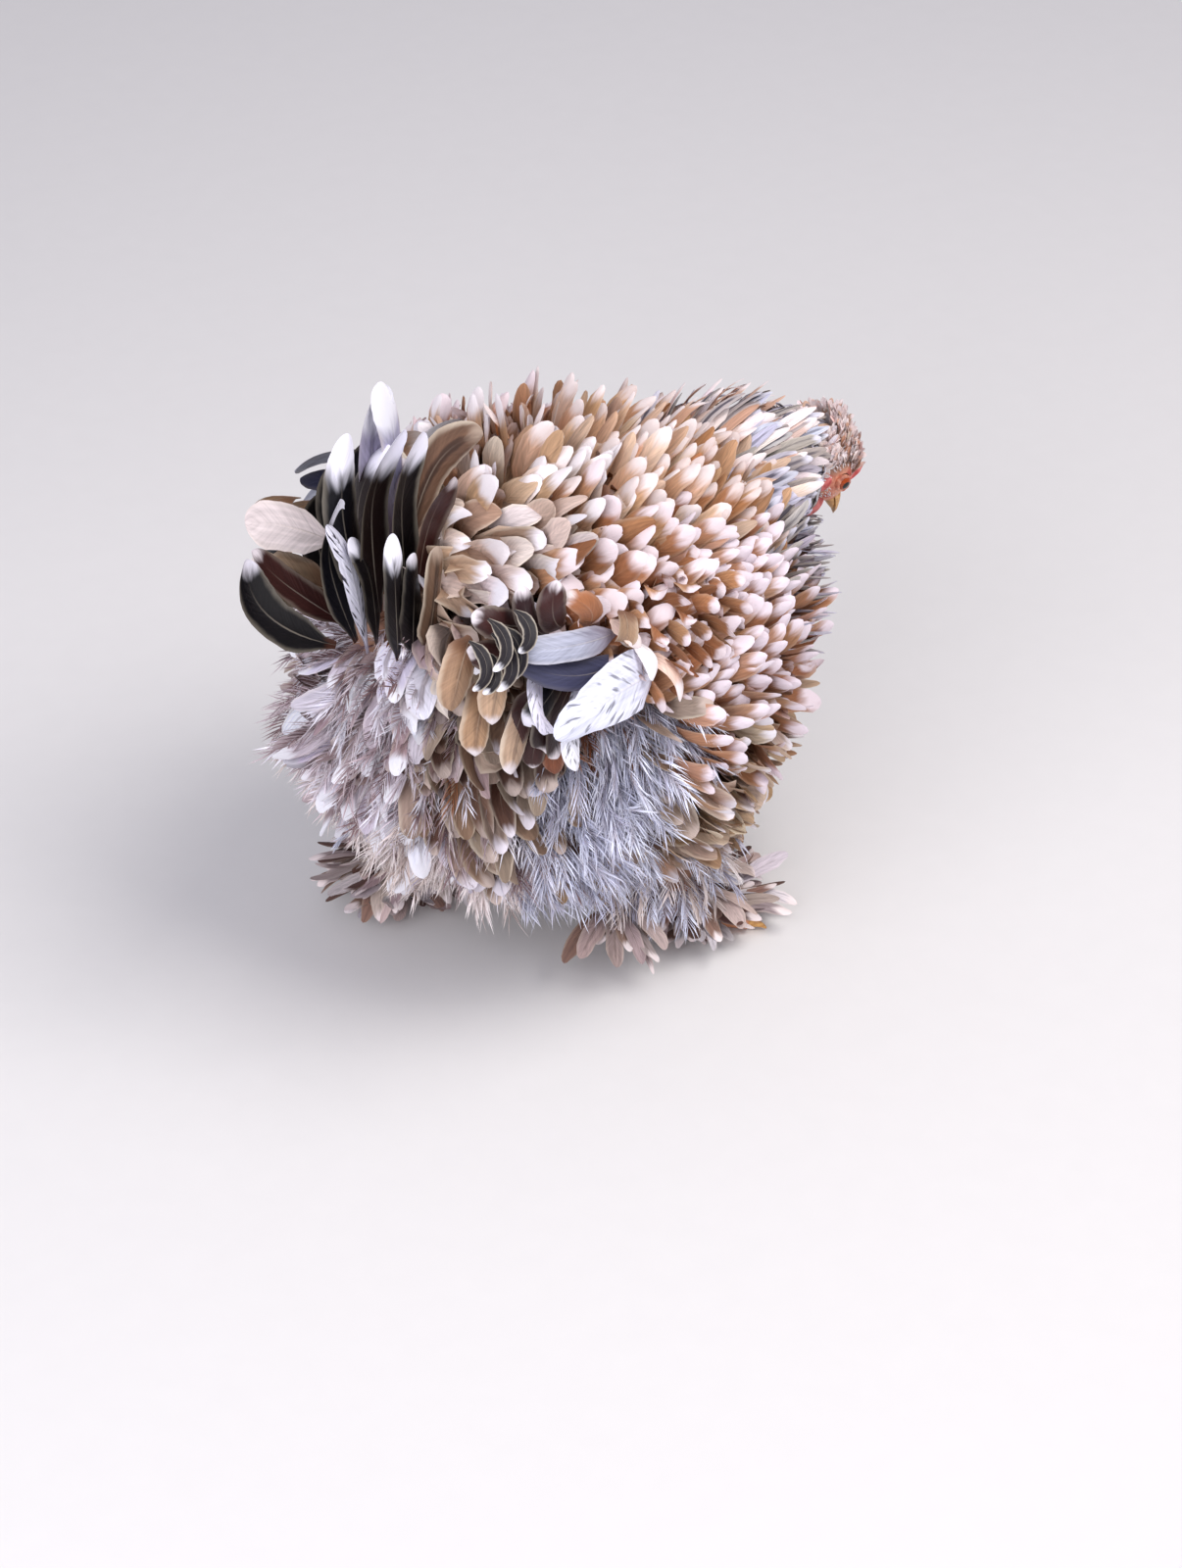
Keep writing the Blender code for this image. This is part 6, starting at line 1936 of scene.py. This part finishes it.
def finished(obj: Object, finish: Finish, slot: str, *nodes: str) -> Object:
    """Gives a piece its finish and its place in the frame.

    Args:
        obj: the piece.
        finish: one of the finishes, whose material is made once.
        slot: the record's material slot; not used.
        nodes: the solids that the piece stands for.

    Returns:
        The piece.
    """
    if finish.name not in MADE:
        MADE[finish.name] = finish.make()
    obj.data.materials.clear()
    obj.data.materials.append(MADE[finish.name])
    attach(obj, "root")
    if nodes:
        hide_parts(*nodes)
    LOG.info("%s: %d faces, stands for %s", obj.name, len(obj.data.polygons), ", ".join(nodes) or "no solid of its own")
    return obj


def aimed(name: str, data: bpy.types.ID, place: Array, back: Array) -> Object:
    """An upright object that looks one way.

    Args:
        name: its name.
        data: the camera or light it holds.
        place: where it stands.
        back: the way it looks away from, at length one.

    Returns:
        The object, linked to the scene.
    """
    right = unit(np.cross(UP, back))
    matrix = np.eye(4)
    matrix[:3] = np.column_stack([right, np.cross(back, right), back, place])
    obj = linked(bpy.data.objects.new(name, data))
    obj.matrix_world = Matrix(matrix.tolist())
    return obj


@dataclass
class Studio:
    """Camera, floor and light.

    The camera looks from azimuth and elevation, in degrees, at the target, with its focal length in pixels of the
    photo. A light is its name, place, size, power and colour, and world the colour and strength of the light from all
    round."""

    azimuth: float = -30.0
    elevation: float = 36.0
    distance: float = 1.9
    target: Triple = (.0028, -.0378, .0919)
    focal_pixels: float = 4275.0
    photo_height: float = 1600.0
    lights: tuple[tuple[str, Triple, float, float, Triple], ...] = (
        ("key", (.5, -.7, 1.6), 1.1, 21.5, (1.0, .97, .95)),
        ("fill", (-1.4, -.8, 1.0), 1.4, 21.0, (.94, .94, 1.0)),
    )
    floor_half: float = 40.0
    world: tuple[Triple, float] = ((.88, .87, 1.0), .50)

    def camera(self) -> None:
        """Sets up the camera, with the photo's framing."""
        a, e = math.radians(self.azimuth), math.radians(self.elevation)
        back = np.array([math.sin(a) * math.cos(e), -math.cos(a) * math.cos(e), math.sin(e)])
        data = bpy.data.cameras.new("camera")
        data.sensor_width = 36.0
        data.lens = data.sensor_width * self.focal_pixels / self.photo_height
        aim = np.array(self.target) + FORWARD * BODY_CENTRE[0]
        bpy.context.scene.camera = aimed("camera", data, aim + back * self.distance, back)

    def floor(self) -> None:
        """Lays a wide pale floor, which isn't part of the hen."""
        corners = np.array([(-1, -1, 0), (1, -1, 0), (1, 1, 0), (-1, 1, 0)]) * self.floor_half
        obj = MeshArrays(corners, np.array([[0, 1, 2, 3]]), np.zeros((0, 3), int)).to_object("floor")
        obj.data.materials.append(FLOOR_FINISH.make())

    def light(self) -> None:
        """Sets up the lights: a soft key from above and ahead, a cool fill from behind, and a pale world."""
        for name, place, size, power, colour in self.lights:
            data = bpy.data.lights.new(name, "AREA")
            data.size, data.energy, data.color = size, power, colour
            aimed(name, data, np.array(place), unit(np.array(place) - BODY_CENTRE))
        world = bpy.data.worlds.new("studio")
        world.use_nodes = True
        background = world.node_tree.nodes["Background"]
        colour, strength = self.world
        background.inputs["Color"].default_value = (*colour, 1.0)
        background.inputs["Strength"].default_value = strength
        bpy.context.scene.world = world
        bpy.context.scene.view_settings.view_transform = "Standard"

    def build(self) -> None:
        """Sets up the whole studio."""
        self.camera()
        self.floor()
        self.light()


def main() -> None:
    """Builds the hen from the skin outwards, then the studio."""
    logging.basicConfig(level=logging.INFO, format="%(name)s: %(message)s")
    rng = np.random.default_rng(SEED)
    vane_group()
    grain_group()
    head, feet = Head(), Feet()
    Flesh(head, feet).build()
    feet.claws()
    head.build(rng)
    DownCoat().build(rng)
    Hackles().build(rng)
    Coat().build(rng)
    Flights().build(rng)
    for hand in SIDES:
        Boots().build(hand, rng)
    Studio().build()


if __name__ == "__main__":
    main()
